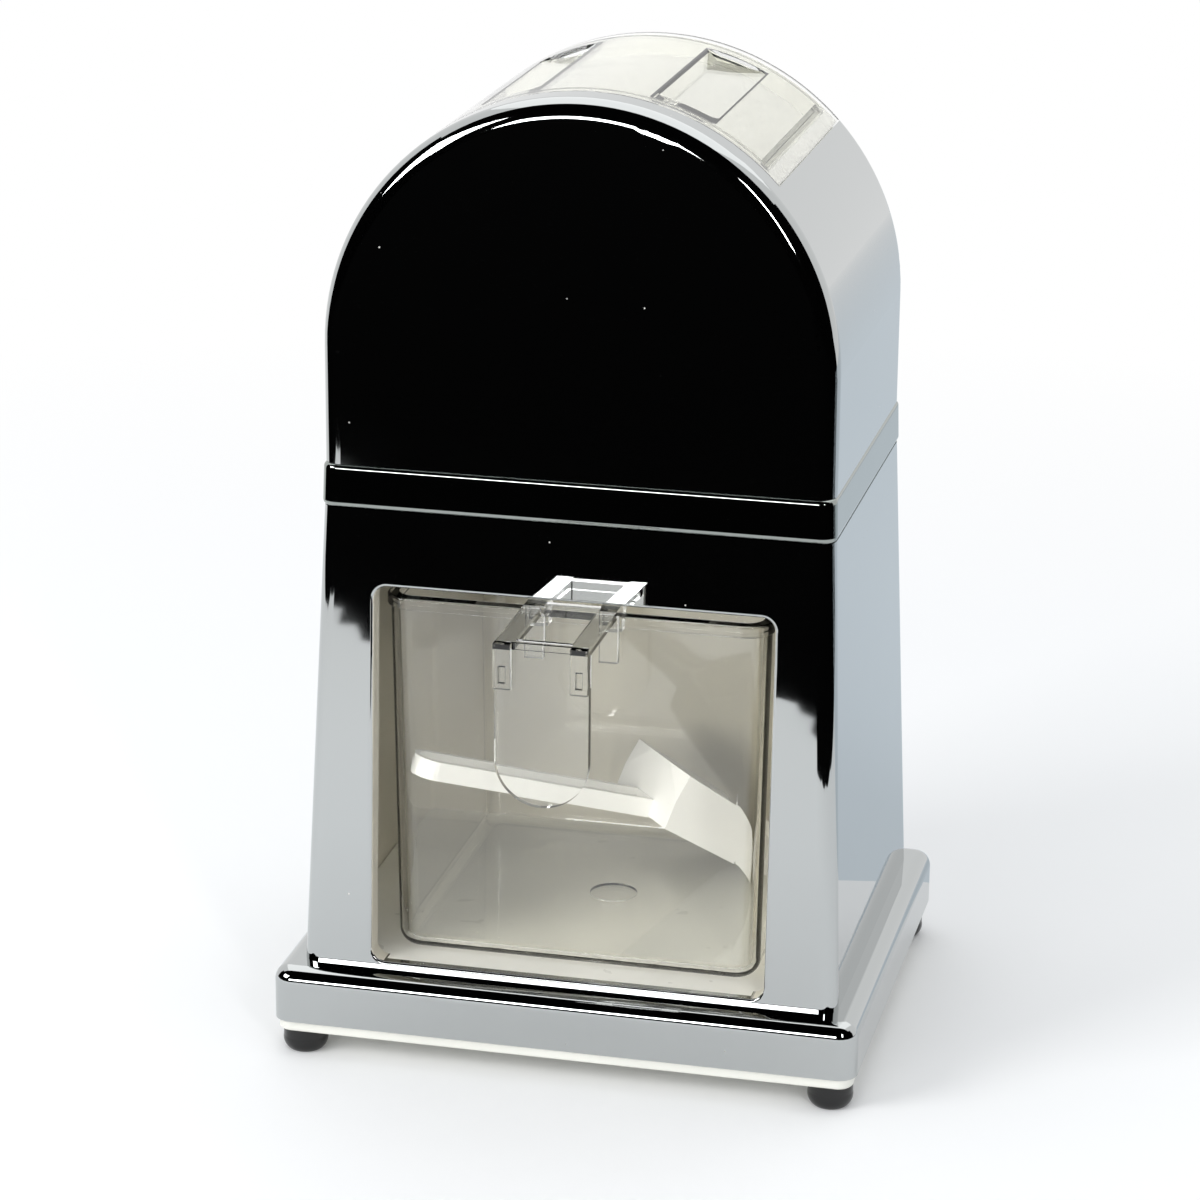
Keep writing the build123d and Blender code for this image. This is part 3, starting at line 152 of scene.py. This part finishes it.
# ---- materials -----------------------------------------------------------------------------------
def plated_abs(name, tint, finish, bare_inside=False):
    """Moulded and chrome plated ABS: a near neutral mirror, slightly wavy and hazed, with specks of dust.

    With bare_inside, the faces that look towards the body's middle are the unplated warm grey moulding.
    """
    material, tree, where = new_material(name)
    swell = add(tree, "ShaderNodeTexNoise", {"Scale": 1 / WAVE_MM, "Detail": 1.5}, {"Vector": where})
    wave = add(tree, "ShaderNodeBump", {"Strength": 1.0, "Distance": WAVE_DEPTH_MM * MM},
               {"Height": swell.outputs["Fac"]})
    cells = add(tree, "ShaderNodeTexVoronoi", {"feature": "F1", "Scale": 1 / DUST_SPACING_MM},
                {"Vector": where})
    specks = add(tree, "ShaderNodeMapRange",
                 {"From Min": DUST_SPECK[0], "From Max": DUST_SPECK[1], "To Min": 1.0, "To Max": 0.0},
                 {"Value": cells.outputs["Distance"]})
    patches = add(tree, "ShaderNodeTexNoise", {"Scale": 1 / DUST_PATCH_MM, "Detail": 3.0}, {"Vector": where})
    sparse = add(tree, "ShaderNodeMapRange", {"From Min": DUST_RANGE[0], "From Max": DUST_RANGE[1]},
                 {"Value": patches.outputs["Fac"]})
    dust = add(tree, "ShaderNodeMath", {"operation": "MULTIPLY"},
               {0: specks.outputs["Result"], 1: sparse.outputs["Result"]}).outputs["Value"]
    haze_noise = add(tree, "ShaderNodeTexNoise", {"Scale": 1 / HAZE_MM, "Detail": 4.0}, {"Vector": where})
    rough = finish.chrome_roughness
    haze = add(tree, "ShaderNodeMapRange",
               {"From Min": HAZE_RANGE[0], "From Max": HAZE_RANGE[1],
                "To Min": rough, "To Max": rough * HAZE_BLUR},
               {"Value": haze_noise.outputs["Fac"]}).outputs["Result"]
    colour = add(tree, "ShaderNodeMix", {"data_type": "RGBA", 6: rgba(tint), 7: rgba(finish.dust)},
                 {0: dust}).outputs[2]
    matt = dust
    if bare_inside:
        shape = add(tree, "ShaderNodeNewGeometry")
        from_middle = add(tree, "ShaderNodeVectorMath", {"operation": "SUBTRACT", 1: BODY_MIDDLE},
                          {0: shape.outputs["Position"]})
        outward = add(tree, "ShaderNodeVectorMath", {"operation": "MULTIPLY", 1: (1.0, 1.0, 0.0)},
                      {0: from_middle.outputs["Vector"]})
        facing = add(tree, "ShaderNodeVectorMath", {"operation": "DOT_PRODUCT"},
                     {0: outward.outputs["Vector"], 1: shape.outputs["True Normal"]})
        inner = add(tree, "ShaderNodeMapRange",
                    {"From Min": INWARD[0], "From Max": INWARD[1], "To Min": 1.0, "To Max": 0.0},
                    {"Value": facing.outputs["Value"]}).outputs["Result"]
        colour = add(tree, "ShaderNodeMix", {"data_type": "RGBA", 7: rgba(finish.bare)},
                     {0: inner, 6: colour}).outputs[2]
        haze = add(tree, "ShaderNodeMix", {"data_type": "FLOAT", 3: BARE_ROUGHNESS},
                   {0: inner, 2: haze}).outputs[0]
        matt = add(tree, "ShaderNodeMath", {"operation": "MAXIMUM"}, {0: dust, 1: inner}).outputs["Value"]
    metal = add(tree, "ShaderNodeMath", {"operation": "SUBTRACT", 0: 1.0}, {1: matt}).outputs["Value"]
    shader = add(tree, "ShaderNodeBsdfPrincipled", {},
                 {"Base Color": colour, "Metallic": metal, "Roughness": haze,
                  "Normal": wave.outputs["Normal"]})
    add(tree, "ShaderNodeOutputMaterial", {}, {"Surface": shader.outputs["BSDF"]})
    return material


def clear_plastic(name, tint, ior):
    """Clear injection moulded styrene or acrylic: glossy, scuffed from use, slightly wavy.

    The plain transparent share is for lamps alone, so that they light what lies behind.
    """
    material, tree, where = new_material(name)
    along = add(tree, "ShaderNodeVectorMath", {"operation": "MULTIPLY", 1: SCUFF_STRETCH}, {0: where})
    scuffs = add(tree, "ShaderNodeTexNoise", {"Scale": 1 / SCUFF_MM, "Detail": 6.0, "Roughness": 0.62},
                 {"Vector": along.outputs["Vector"]})
    haze = add(tree, "ShaderNodeMapRange",
               {"From Min": SCUFF_RANGE[0], "From Max": SCUFF_RANGE[1],
                "To Min": 0.0, "To Max": SCUFF_ROUGHNESS},
               {"Value": scuffs.outputs["Fac"]})
    slow = add(tree, "ShaderNodeTexNoise", {"Scale": 1 / FLOW_MM, "Detail": 1.0}, {"Vector": where})
    flow = add(tree, "ShaderNodeBump", {"Strength": 1.0, "Distance": FLOW_DEPTH_MM * MM},
               {"Height": slow.outputs["Fac"]})
    glassy = add(tree, "ShaderNodeBsdfPrincipled",
                 {"Base Color": rgba(tint), "Transmission Weight": 1.0, "IOR": ior},
                 {"Roughness": haze.outputs["Result"], "Normal": flow.outputs["Normal"]})
    through = add(tree, "ShaderNodeBsdfTransparent", {"Color": rgba(tint)})
    lamp = add(tree, "ShaderNodeLightPath").outputs["Is Shadow Ray"]
    both = add(tree, "ShaderNodeMixShader", {},
               {0: lamp, 1: glassy.outputs["BSDF"], 2: through.outputs["BSDF"]})
    add(tree, "ShaderNodeOutputMaterial", {}, {"Surface": both.outputs["Shader"]})
    return material


def moulded_plastic(name, colour, rough, grain_mm, grain_depth_mm, shade=0.94):
    """Opaque moulded plastic or rubber: even colour with a hint of mottling, and a fine tool texture."""
    material, tree, where = new_material(name)
    mottle = add(tree, "ShaderNodeTexNoise", {"Scale": 1 / MOTTLE_MM, "Detail": 3.0}, {"Vector": where})
    share = add(tree, "ShaderNodeMapRange", {"From Min": NOISE_MIDDLE[0], "From Max": NOISE_MIDDLE[1]},
                {"Value": mottle.outputs["Fac"]})
    darker = [c * shade for c in colour[:3]]
    tone = add(tree, "ShaderNodeMix", {"data_type": "RGBA", 6: rgba(darker), 7: rgba(colour)},
               {0: share.outputs["Result"]})
    patches = add(tree, "ShaderNodeTexNoise", {"Scale": 1 / GLOSS_PATCH_MM, "Detail": 3.0},
                  {"Vector": where})
    haze = add(tree, "ShaderNodeMapRange",
               {"From Min": NOISE_MIDDLE[0], "From Max": NOISE_MIDDLE[1],
                "To Min": rough * (1 - GLOSS_SPREAD), "To Max": rough * (1 + GLOSS_SPREAD)},
               {"Value": patches.outputs["Fac"]})
    texture = add(tree, "ShaderNodeTexNoise", {"Scale": 1 / grain_mm, "Detail": 3.0}, {"Vector": where})
    grain = add(tree, "ShaderNodeBump", {"Strength": 1.0, "Distance": grain_depth_mm * MM},
                {"Height": texture.outputs["Fac"]})
    shader = add(tree, "ShaderNodeBsdfPrincipled", {"IOR": PLASTIC_IOR},
                 {"Base Color": tone.outputs[2], "Roughness": haze.outputs["Result"],
                  "Normal": grain.outputs["Normal"]})
    add(tree, "ShaderNodeOutputMaterial", {}, {"Surface": shader.outputs["BSDF"]})
    return material


def machined_steel(name, colour, rough, direction):
    """Steel with the fine straight marks of stamping, grinding or turning, which streak its reflections."""
    material, tree, where = new_material(name)
    along = add(tree, "ShaderNodeVectorMath", {"operation": "MULTIPLY", 1: direction}, {0: where})
    marks = add(tree, "ShaderNodeTexNoise", {"Scale": 1 / MARK_MM, "Detail": 5.0, "Roughness": 0.7},
                {"Vector": along.outputs["Vector"]}).outputs["Fac"]
    share = add(tree, "ShaderNodeMapRange", {"From Min": NOISE_MIDDLE[0], "From Max": NOISE_MIDDLE[1]},
                {"Value": marks})
    darker = [c * MARK_SHADE for c in colour[:3]]
    tone = add(tree, "ShaderNodeMix", {"data_type": "RGBA", 6: rgba(darker), 7: rgba(colour)},
               {0: share.outputs["Result"]})
    haze = add(tree, "ShaderNodeMapRange",
               {"From Min": NOISE_MIDDLE[0], "From Max": NOISE_MIDDLE[1],
                "To Min": rough * MARK_GLOSS[0], "To Max": rough * MARK_GLOSS[1]}, {"Value": marks})
    relief = add(tree, "ShaderNodeBump", {"Strength": 1.0, "Distance": MARK_DEPTH_MM * MM},
                 {"Height": marks})
    shader = add(tree, "ShaderNodeBsdfPrincipled", {"Metallic": 1.0},
                 {"Base Color": tone.outputs[2], "Roughness": haze.outputs["Result"],
                  "Normal": relief.outputs["Normal"]})
    add(tree, "ShaderNodeOutputMaterial", {}, {"Surface": shader.outputs["BSDF"]})
    return material


# ---- settings ------------------------------------------------------------------------------------
class CrusherFinish(PropertyGroup):
    """Colours and gloss of the crusher's materials."""
    chrome: FloatVectorProperty(name="Chrome", description="Tint of the plating", subtype="COLOR",
                                default=linear("#B9BCBC"), min=0, max=1)
    smoke: FloatVectorProperty(name="Smoke chrome", description="Tint of the collar's darker plating",
                               subtype="COLOR", default=linear("#999E9B"), min=0, max=1)
    bare: FloatVectorProperty(name="Bare moulding", description="Unplated inside of the housing",
                              subtype="COLOR", default=linear("#D6D0C0"), min=0, max=1)
    chrome_roughness: FloatProperty(name="Chrome roughness", description="Blur of the plating's reflections",
                                    subtype="FACTOR", default=0.02, min=0, max=1)
    dust: FloatVectorProperty(name="Dust", description="Colour of the dust specks", subtype="COLOR",
                              default=linear("#D8D6CE"), min=0, max=1)
    clear: FloatVectorProperty(name="Clear plastic", description="Tint of the drawer, handle and lid",
                               subtype="COLOR", default=linear("#FCFCFA"), min=0, max=1)
    ivory: FloatVectorProperty(name="Ivory", description="Floor plate and chute", subtype="COLOR",
                               default=linear("#F0EEE4"), min=0, max=1)
    hopper: FloatVectorProperty(name="Hopper", description="Hopper under the lid", subtype="COLOR",
                                default=linear("#E6E6DE"), min=0, max=1)
    scoop: FloatVectorProperty(name="Scoop", description="Loose scoop", subtype="COLOR",
                               default=linear("#F4F3EE"), min=0, max=1)
    rubber: FloatVectorProperty(name="Rubber", description="Feet", subtype="COLOR",
                                default=linear("#131313"), min=0, max=1)
    steel: FloatVectorProperty(name="Steel", description="Blades, combs, shaft and screws", subtype="COLOR",
                               default=linear("#C4C4C2"), min=0, max=1)
    knob: FloatVectorProperty(name="Knob", description="Crank knob and bushes", subtype="COLOR",
                              default=linear("#161616"), min=0, max=1)


class CrusherStudio(PropertyGroup):
    """Floor, lights and camera."""
    floor: FloatVectorProperty(name="Floor", description="Floor paper", subtype="COLOR",
                               default=linear("#FAFAFA"), min=0, max=1)
    room: FloatProperty(name="Room light", description="Strength of the even light all round",
                        default=0.74, min=0)
    key: FloatProperty(name="Left softbox", description="Power of the large softbox, in watts",
                       unit="POWER", default=9.0, min=0)
    fill: FloatProperty(name="Right softbox", description="Power of the narrow softbox, in watts",
                        unit="POWER", default=2.5, min=0)
    front: FloatProperty(name="Front softbox", description="Power of the low softbox in front, in watts",
                         unit="POWER", default=4.5, min=0)
    top: FloatProperty(name="Overhead softbox", description="Power of the overhead light, in watts",
                       unit="POWER", default=11.0, min=0)
    azimuth: FloatProperty(name="Azimuth", description="Camera's turn to the right of the front",
                           subtype="ANGLE", default=math.radians(13.17))
    elevation: FloatProperty(name="Elevation", description="Camera's tilt down", subtype="ANGLE",
                             default=math.radians(18.37))
    roll: FloatProperty(name="Roll", description="Camera's roll", subtype="ANGLE", default=math.radians(0.5))
    position: FloatVectorProperty(name="Camera position",
                                  description="From the floor under the body's middle",
                                  subtype="TRANSLATION", unit="LENGTH", default=(0.2190, -0.9565, 0.4367))
    focal_px: FloatProperty(name="Focal length", description="In pixels of the square picture",
                            default=3926.5, min=1)


# ---- operators -----------------------------------------------------------------------------------
class CRUSHER_OT_plated_shells(Operator):
    """Plate the plinth, housing, collar and dome"""
    bl_idname = "crusher.plated_shells"
    bl_label = "Plated shells"

    def execute(self, context):
        finish = context.scene.crusher_finish
        dress(plated_abs("chrome_plated_moulded_abs", finish.chrome, finish), "base_plinth", "dome")
        # the housing's inside is left unplated, and shows as warm grey behind the clear drawer
        housing = plated_abs("chrome_plated_abs_bare_inside", finish.chrome, finish, bare_inside=True)
        dress(housing, "lower_housing")
        # a darker plating, which sets the collar off as a grey band
        dress(plated_abs("smoke_chrome_plated_abs", finish.smoke, finish), "collar_ring")
        return {"FINISHED"}


class CRUSHER_OT_base(Operator):
    """Finish the feet, the bottom cover, the floor plate and the chute"""
    bl_idname = "crusher.base"
    bl_label = "Feet, cover and floor plate"

    def execute(self, context):
        finish = context.scene.crusher_finish
        # smooth hard rubber: near black, with small highlights
        rubber = moulded_plastic("moulded_black_rubber", finish.rubber,
                                 rough=0.2, grain_mm=0.8, grain_depth_mm=0.006, shade=0.7)
        dress(rubber, *FEET)
        # half gloss in warm white, which brightens the drawer from below
        ivory = moulded_plastic("moulded_ivory_abs", finish.ivory,
                                rough=0.32, grain_mm=0.7, grain_depth_mm=0.008)
        dress(ivory, "base_floor", "chute")
        # a shade duller than the floor plate, and seen only as a pale line under the plinth
        cover = moulded_plastic("moulded_white_polystyrene", finish.hopper,
                                rough=0.36, grain_mm=0.7, grain_depth_mm=0.008)
        dress(cover, "bottom_cover")
        return {"FINISHED"}


class CRUSHER_OT_hopper(Operator):
    """Finish the hopper"""
    bl_idname = "crusher.hopper"
    bl_label = "Hopper"

    def execute(self, context):
        finish = context.scene.crusher_finish
        # half gloss in cream white, under the clear lid
        white = moulded_plastic("moulded_white_abs", finish.hopper,
                                rough=0.28, grain_mm=0.8, grain_depth_mm=0.008)
        dress(white, "hopper")
        return {"FINISHED"}


class CRUSHER_OT_clear_parts(Operator):
    """Finish the lid, the drawer and its handle"""
    bl_idname = "crusher.clear_parts"
    bl_label = "Lid, drawer and handle"

    def execute(self, context):
        clear = context.scene.crusher_finish.clear
        dress(clear_plastic("clear_moulded_acrylic", clear, ior=1.49), "lid")
        # styrene bends light more than acrylic, so its edges are drawn more strongly
        dress(clear_plastic("clear_moulded_polystyrene", clear, ior=1.58), "drawer", "drawer_handle")
        return {"FINISHED"}


class CRUSHER_OT_scoop(Operator):
    """Finish the scoop"""
    bl_idname = "crusher.scoop"
    bl_label = "Scoop"

    def execute(self, context):
        finish = context.scene.crusher_finish
        # waxy and soft in its highlights
        waxy = moulded_plastic("moulded_white_polypropylene", finish.scoop,
                               rough=0.4, grain_mm=1.2, grain_depth_mm=0.01, shade=0.97)
        dress(waxy, "scoop")
        return {"FINISHED"}


class CRUSHER_OT_mechanism(Operator):
    """Finish the rotor, combs, bushes and screws"""
    bl_idname = "crusher.mechanism"
    bl_label = "Mechanism"

    def execute(self, context):
        finish = context.scene.crusher_finish
        # marks run up the stamped faces
        stamped = machined_steel("stamped_stainless_steel", finish.steel,
                                 rough=0.3, direction=(1.0, 1.0, 0.12))
        dress(stamped, "coarse_comb", "fine_comb", *nodes_starting("rotor_blade"))
        # marks run round the shaft's axis
        turned = machined_steel("turned_steel", finish.steel, rough=0.26, direction=(0.15, 1.0, 0.15))
        dress(turned, "rotor_shaft", "knob_pin", "retaining_clip", *nodes_starting("rotor_spacer"))
        # zinc plating has fine crystals rather than marks, so its pattern has no direction
        plated = machined_steel("zinc_plated_steel", finish.steel, rough=0.34, direction=(1.0, 1.0, 1.0))
        dress(plated, "foot_screws", "deck_screws", "comb_screws")
        # slippery and half matt
        acetal = moulded_plastic("moulded_black_acetal", finish.knob,
                                 rough=0.38, grain_mm=0.6, grain_depth_mm=0.006, shade=0.8)
        dress(acetal, "front_bearing", "middle_bearing", "rear_bearing", "thrust_washer")
        return {"FINISHED"}


class CRUSHER_OT_crank(Operator):
    """Finish the crank, its nut, knob and cap"""
    bl_idname = "crusher.crank"
    bl_label = "Crank"

    def execute(self, context):
        finish = context.scene.crusher_finish
        # near a mirror, with faint polishing marks along the arm
        polished = machined_steel("polished_chrome_plated_steel", finish.chrome,
                                  rough=0.06, direction=(1.0, 1.0, 0.2))
        dress(polished, "crank_arm", "crank_nut")
        # hard and glossy, with long highlights down the knob
        phenolic = moulded_plastic("moulded_black_phenolic", finish.knob,
                                   rough=0.22, grain_mm=1.0, grain_depth_mm=0.006, shade=0.8)
        dress(phenolic, "crank_knob", "knob_cap")
        return {"FINISHED"}


def stage_card(name, outline, material):
    """Flat card of the studio; its outline is in metres from the floor under the body's middle."""
    mesh = bpy.data.meshes.new(name)
    mesh.from_pydata(outline, [], [range(len(outline))])
    card = bpy.data.objects.new(name, mesh)
    mesh.materials.append(material)
    bpy.context.scene.collection.objects.link(card)
    card.location = UNDER_BODY
    return card


def paper(colour):
    """Matt floor paper that runs out to plain white far from the crusher."""
    material, tree, _ = new_material("matt_floor_paper")
    place = add(tree, "ShaderNodeNewGeometry").outputs["Position"]
    reach = add(tree, "ShaderNodeVectorMath", {"operation": "LENGTH"}, {0: place}).outputs["Value"]
    far = add(tree, "ShaderNodeMapRange", {"From Min": FLOOR_FADE[0], "From Max": FLOOR_FADE[1]},
              {"Value": reach})
    share = add(tree, "ShaderNodeMath", {"operation": "MULTIPLY"},
                {0: far.outputs["Result"], 1: background_rays(tree)})
    matt = add(tree, "ShaderNodeBsdfDiffuse", {"Color": rgba(colour)})
    white = add(tree, "ShaderNodeEmission", {"Strength": 1.0})
    both = add(tree, "ShaderNodeMixShader", {},
               {0: share.outputs["Value"], 1: matt.outputs["BSDF"], 2: white.outputs["Emission"]})
    add(tree, "ShaderNodeOutputMaterial", {}, {"Surface": both.outputs["Shader"]})
    return material


def background_rays(tree):
    """1 for rays that show the background: from the camera, in a reflection or through clear plastic."""
    path = add(tree, "ShaderNodeLightPath")
    mirrored = add(tree, "ShaderNodeMath", {"operation": "MAXIMUM"},
                   {0: path.outputs["Is Camera Ray"], 1: path.outputs["Is Glossy Ray"]})
    return add(tree, "ShaderNodeMath", {"operation": "MAXIMUM"},
               {0: mirrored.outputs["Value"], 1: path.outputs["Is Transmission Ray"]}).outputs["Value"]


def black_cloth():
    """Black cloth, which the front's mirror shows as black."""
    material, tree, _ = new_material("black_studio_cloth")
    matt = add(tree, "ShaderNodeBsdfDiffuse", {"Color": rgba(linear(CLOTH_COLOUR))})
    add(tree, "ShaderNodeOutputMaterial", {}, {"Surface": matt.outputs["BSDF"]})
    return material


def fading_card():
    """Matt blue-grey card that thins out away from the crusher, so that its far end doesn't show."""
    material, tree, _ = new_material("matt_blue_grey_card")
    place = add(tree, "ShaderNodeNewGeometry").outputs["Position"]
    reach = add(tree, "ShaderNodeVectorMath", {"operation": "LENGTH"}, {0: place})
    thin = add(tree, "ShaderNodeMapRange", {"From Min": CARD_FADE[0], "From Max": CARD_FADE[1]},
               {"Value": reach.outputs["Value"]})
    matt = add(tree, "ShaderNodeBsdfDiffuse", {"Color": rgba(linear(CARD_COLOUR))})
    clear = add(tree, "ShaderNodeBsdfTransparent")
    both = add(tree, "ShaderNodeMixShader", {},
               {0: thin.outputs["Result"], 1: matt.outputs["BSDF"], 2: clear.outputs["BSDF"]})
    add(tree, "ShaderNodeOutputMaterial", {}, {"Surface": both.outputs["Shader"]})
    return material


def softbox(name, size, place, power):
    """Rectangular area light that faces the crusher; its place is from the floor under the body's middle."""
    lamp = bpy.data.lights.new(name, "AREA")
    lamp.shape = "RECTANGLE"
    lamp.size, lamp.size_y = size
    lamp.energy = power
    box = bpy.data.objects.new(name, lamp)
    bpy.context.scene.collection.objects.link(box)
    aim = (Vector((0, 0, AIM_HEIGHT)) - Vector(place)).normalized()
    turn = aim.to_track_quat("-Z", "Y").to_matrix().to_4x4()
    box.matrix_world = Matrix.Translation(UNDER_BODY + Vector(place)) @ turn


class CRUSHER_OT_stage(Operator):
    """Lay the floor, hang the black cloth that only reflections show, and set the lights"""
    bl_idname = "crusher.stage"
    bl_label = "Studio"

    def execute(self, context):
        studio = context.scene.crusher_studio
        half = STUDIO_HALF
        stage_card("studio_floor", [(-half, -half, 0), (half, -half, 0), (half, half, 0), (-half, half, 0)],
                   paper(studio.floor))
        cloth = black_cloth()
        near = [(x * MM, y * MM, CARD_LIFT) for x, y in CLOTH_EDGE_MM]
        left, right = near[0][0], near[-1][0]
        front, top, roof_back = TENT_FRONT, TENT_H, TENT_ROOF_BACK
        cards = [
            stage_card("cloth_on_floor", [*near, (right, front, CARD_LIFT), (left, front, CARD_LIFT)], cloth),
            stage_card("cloth_front_curtain",
                       [(left, front, 0), (right, front, 0), (right, front, top), (left, front, top)], cloth),
            stage_card("cloth_left_curtain",
                       [(left, front, 0), near[0], (left, near[0][1], top), (left, front, top)], cloth),
            stage_card("cloth_right_curtain",
                       [(right, front, 0), near[-1], (right, near[-1][1], top), (right, front, top)], cloth),
            stage_card("cloth_roof",
                       [(left, front, top), (right, front, top),
                        (right, roof_back, top), (left, roof_back, top)], cloth),
            stage_card("blue_grey_card", [(x * MM, y * MM, CARD_LIFT) for x, y in BLUE_GREY_CARD_MM],
                       fading_card()),
        ]
        for card in cards:
            card.visible_camera = card.visible_diffuse = card.visible_shadow = False
            card.visible_transmission = False
        softbox("left_softbox", size=(0.65, 0.50), place=(-0.98, -0.92, 0.80), power=studio.key)
        softbox("right_softbox", size=(0.10, 0.50), place=(0.67, -1.11, 0.68), power=studio.fill)
        softbox("front_softbox", size=(0.50, 0.25), place=(-0.30, -1.55, 0.42), power=studio.front)
        softbox("overhead_softbox", size=(2.4, 2.4), place=(0.0, 0.9, 1.8), power=studio.top)
        world = bpy.data.worlds.new("even_room_light")
        context.scene.world = world
        world.use_nodes = True
        tree = world.node_tree
        tree.nodes.clear()
        room = add(tree, "ShaderNodeBackground",
                   {"Color": rgba(linear(ROOM_COLOUR)), "Strength": studio.room})
        white = add(tree, "ShaderNodeBackground", {"Color": rgba(linear(WHITE)), "Strength": 1.0})
        both = add(tree, "ShaderNodeMixShader", {},
                   {0: background_rays(tree), 1: room.outputs["Background"], 2: white.outputs["Background"]})
        add(tree, "ShaderNodeOutputWorld", {}, {"Surface": both.outputs["Shader"]})
        context.scene.view_settings.view_transform = "Standard"
        return {"FINISHED"}


class CRUSHER_OT_camera(Operator):
    """Set the camera where the photograph was taken from"""
    bl_idname = "crusher.camera"
    bl_label = "Camera"

    def execute(self, context):
        studio = context.scene.crusher_studio
        lens = bpy.data.cameras.new("photo_camera")
        lens.sensor_width = SENSOR
        lens.lens = studio.focal_px / PHOTO_SIDE * SENSOR
        lens.clip_start, lens.clip_end = CLIP
        camera = bpy.data.objects.new("photo_camera", lens)
        context.scene.collection.objects.link(camera)
        azimuth, elevation, roll = studio.azimuth, studio.elevation, studio.roll
        back = Vector((math.sin(azimuth) * math.cos(elevation), -math.cos(azimuth) * math.cos(elevation),
                       math.sin(elevation)))
        level = Vector((math.cos(azimuth), math.sin(azimuth), 0))
        upright = back.cross(level)
        right = level * math.cos(roll) + upright * math.sin(roll)
        up = upright * math.cos(roll) - level * math.sin(roll)
        turn = Matrix((right, up, back)).transposed().to_4x4()
        place = Vector(studio.position) + UNDER_BODY
        camera.matrix_world = Matrix.Translation(place) @ turn
        context.scene.camera = camera
        return {"FINISHED"}


PIECE_OPERATORS = (
    CRUSHER_OT_plated_shells,
    CRUSHER_OT_base,
    CRUSHER_OT_hopper,
    CRUSHER_OT_clear_parts,
    CRUSHER_OT_scoop,
    CRUSHER_OT_mechanism,
    CRUSHER_OT_crank,
    CRUSHER_OT_stage,
    CRUSHER_OT_camera,
)


class CRUSHER_PT_panel(Panel):
    """Buttons and settings of the crusher"""
    bl_label = "Ice Crusher"
    bl_space_type = "VIEW_3D"
    bl_region_type = "UI"
    bl_category = "Crusher"

    def draw(self, context):
        for operator in PIECE_OPERATORS:
            self.layout.operator(operator.bl_idname)
        for group in (context.scene.crusher_finish, context.scene.crusher_studio):
            box = self.layout.box()
            for name in group.bl_rna.properties.keys():
                if name not in ("rna_type", "name"):
                    box.prop(group, name)


CLASSES = (CrusherFinish, CrusherStudio, *PIECE_OPERATORS, CRUSHER_PT_panel)


def register():
    for cls in CLASSES:
        bpy.utils.register_class(cls)
    bpy.types.Scene.crusher_finish = PointerProperty(type=CrusherFinish)
    bpy.types.Scene.crusher_studio = PointerProperty(type=CrusherStudio)


def unregister():
    del bpy.types.Scene.crusher_studio
    del bpy.types.Scene.crusher_finish
    for cls in reversed(CLASSES):
        bpy.utils.unregister_class(cls)


def main():
    """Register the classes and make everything."""
    register()
    for operator in PIECE_OPERATORS:
        group, name = operator.bl_idname.split(".")
        if getattr(getattr(bpy.ops, group), name)() != {"FINISHED"}:
            raise RuntimeError(operator.bl_label + " did not finish")


if __name__ == "__main__":
    main()
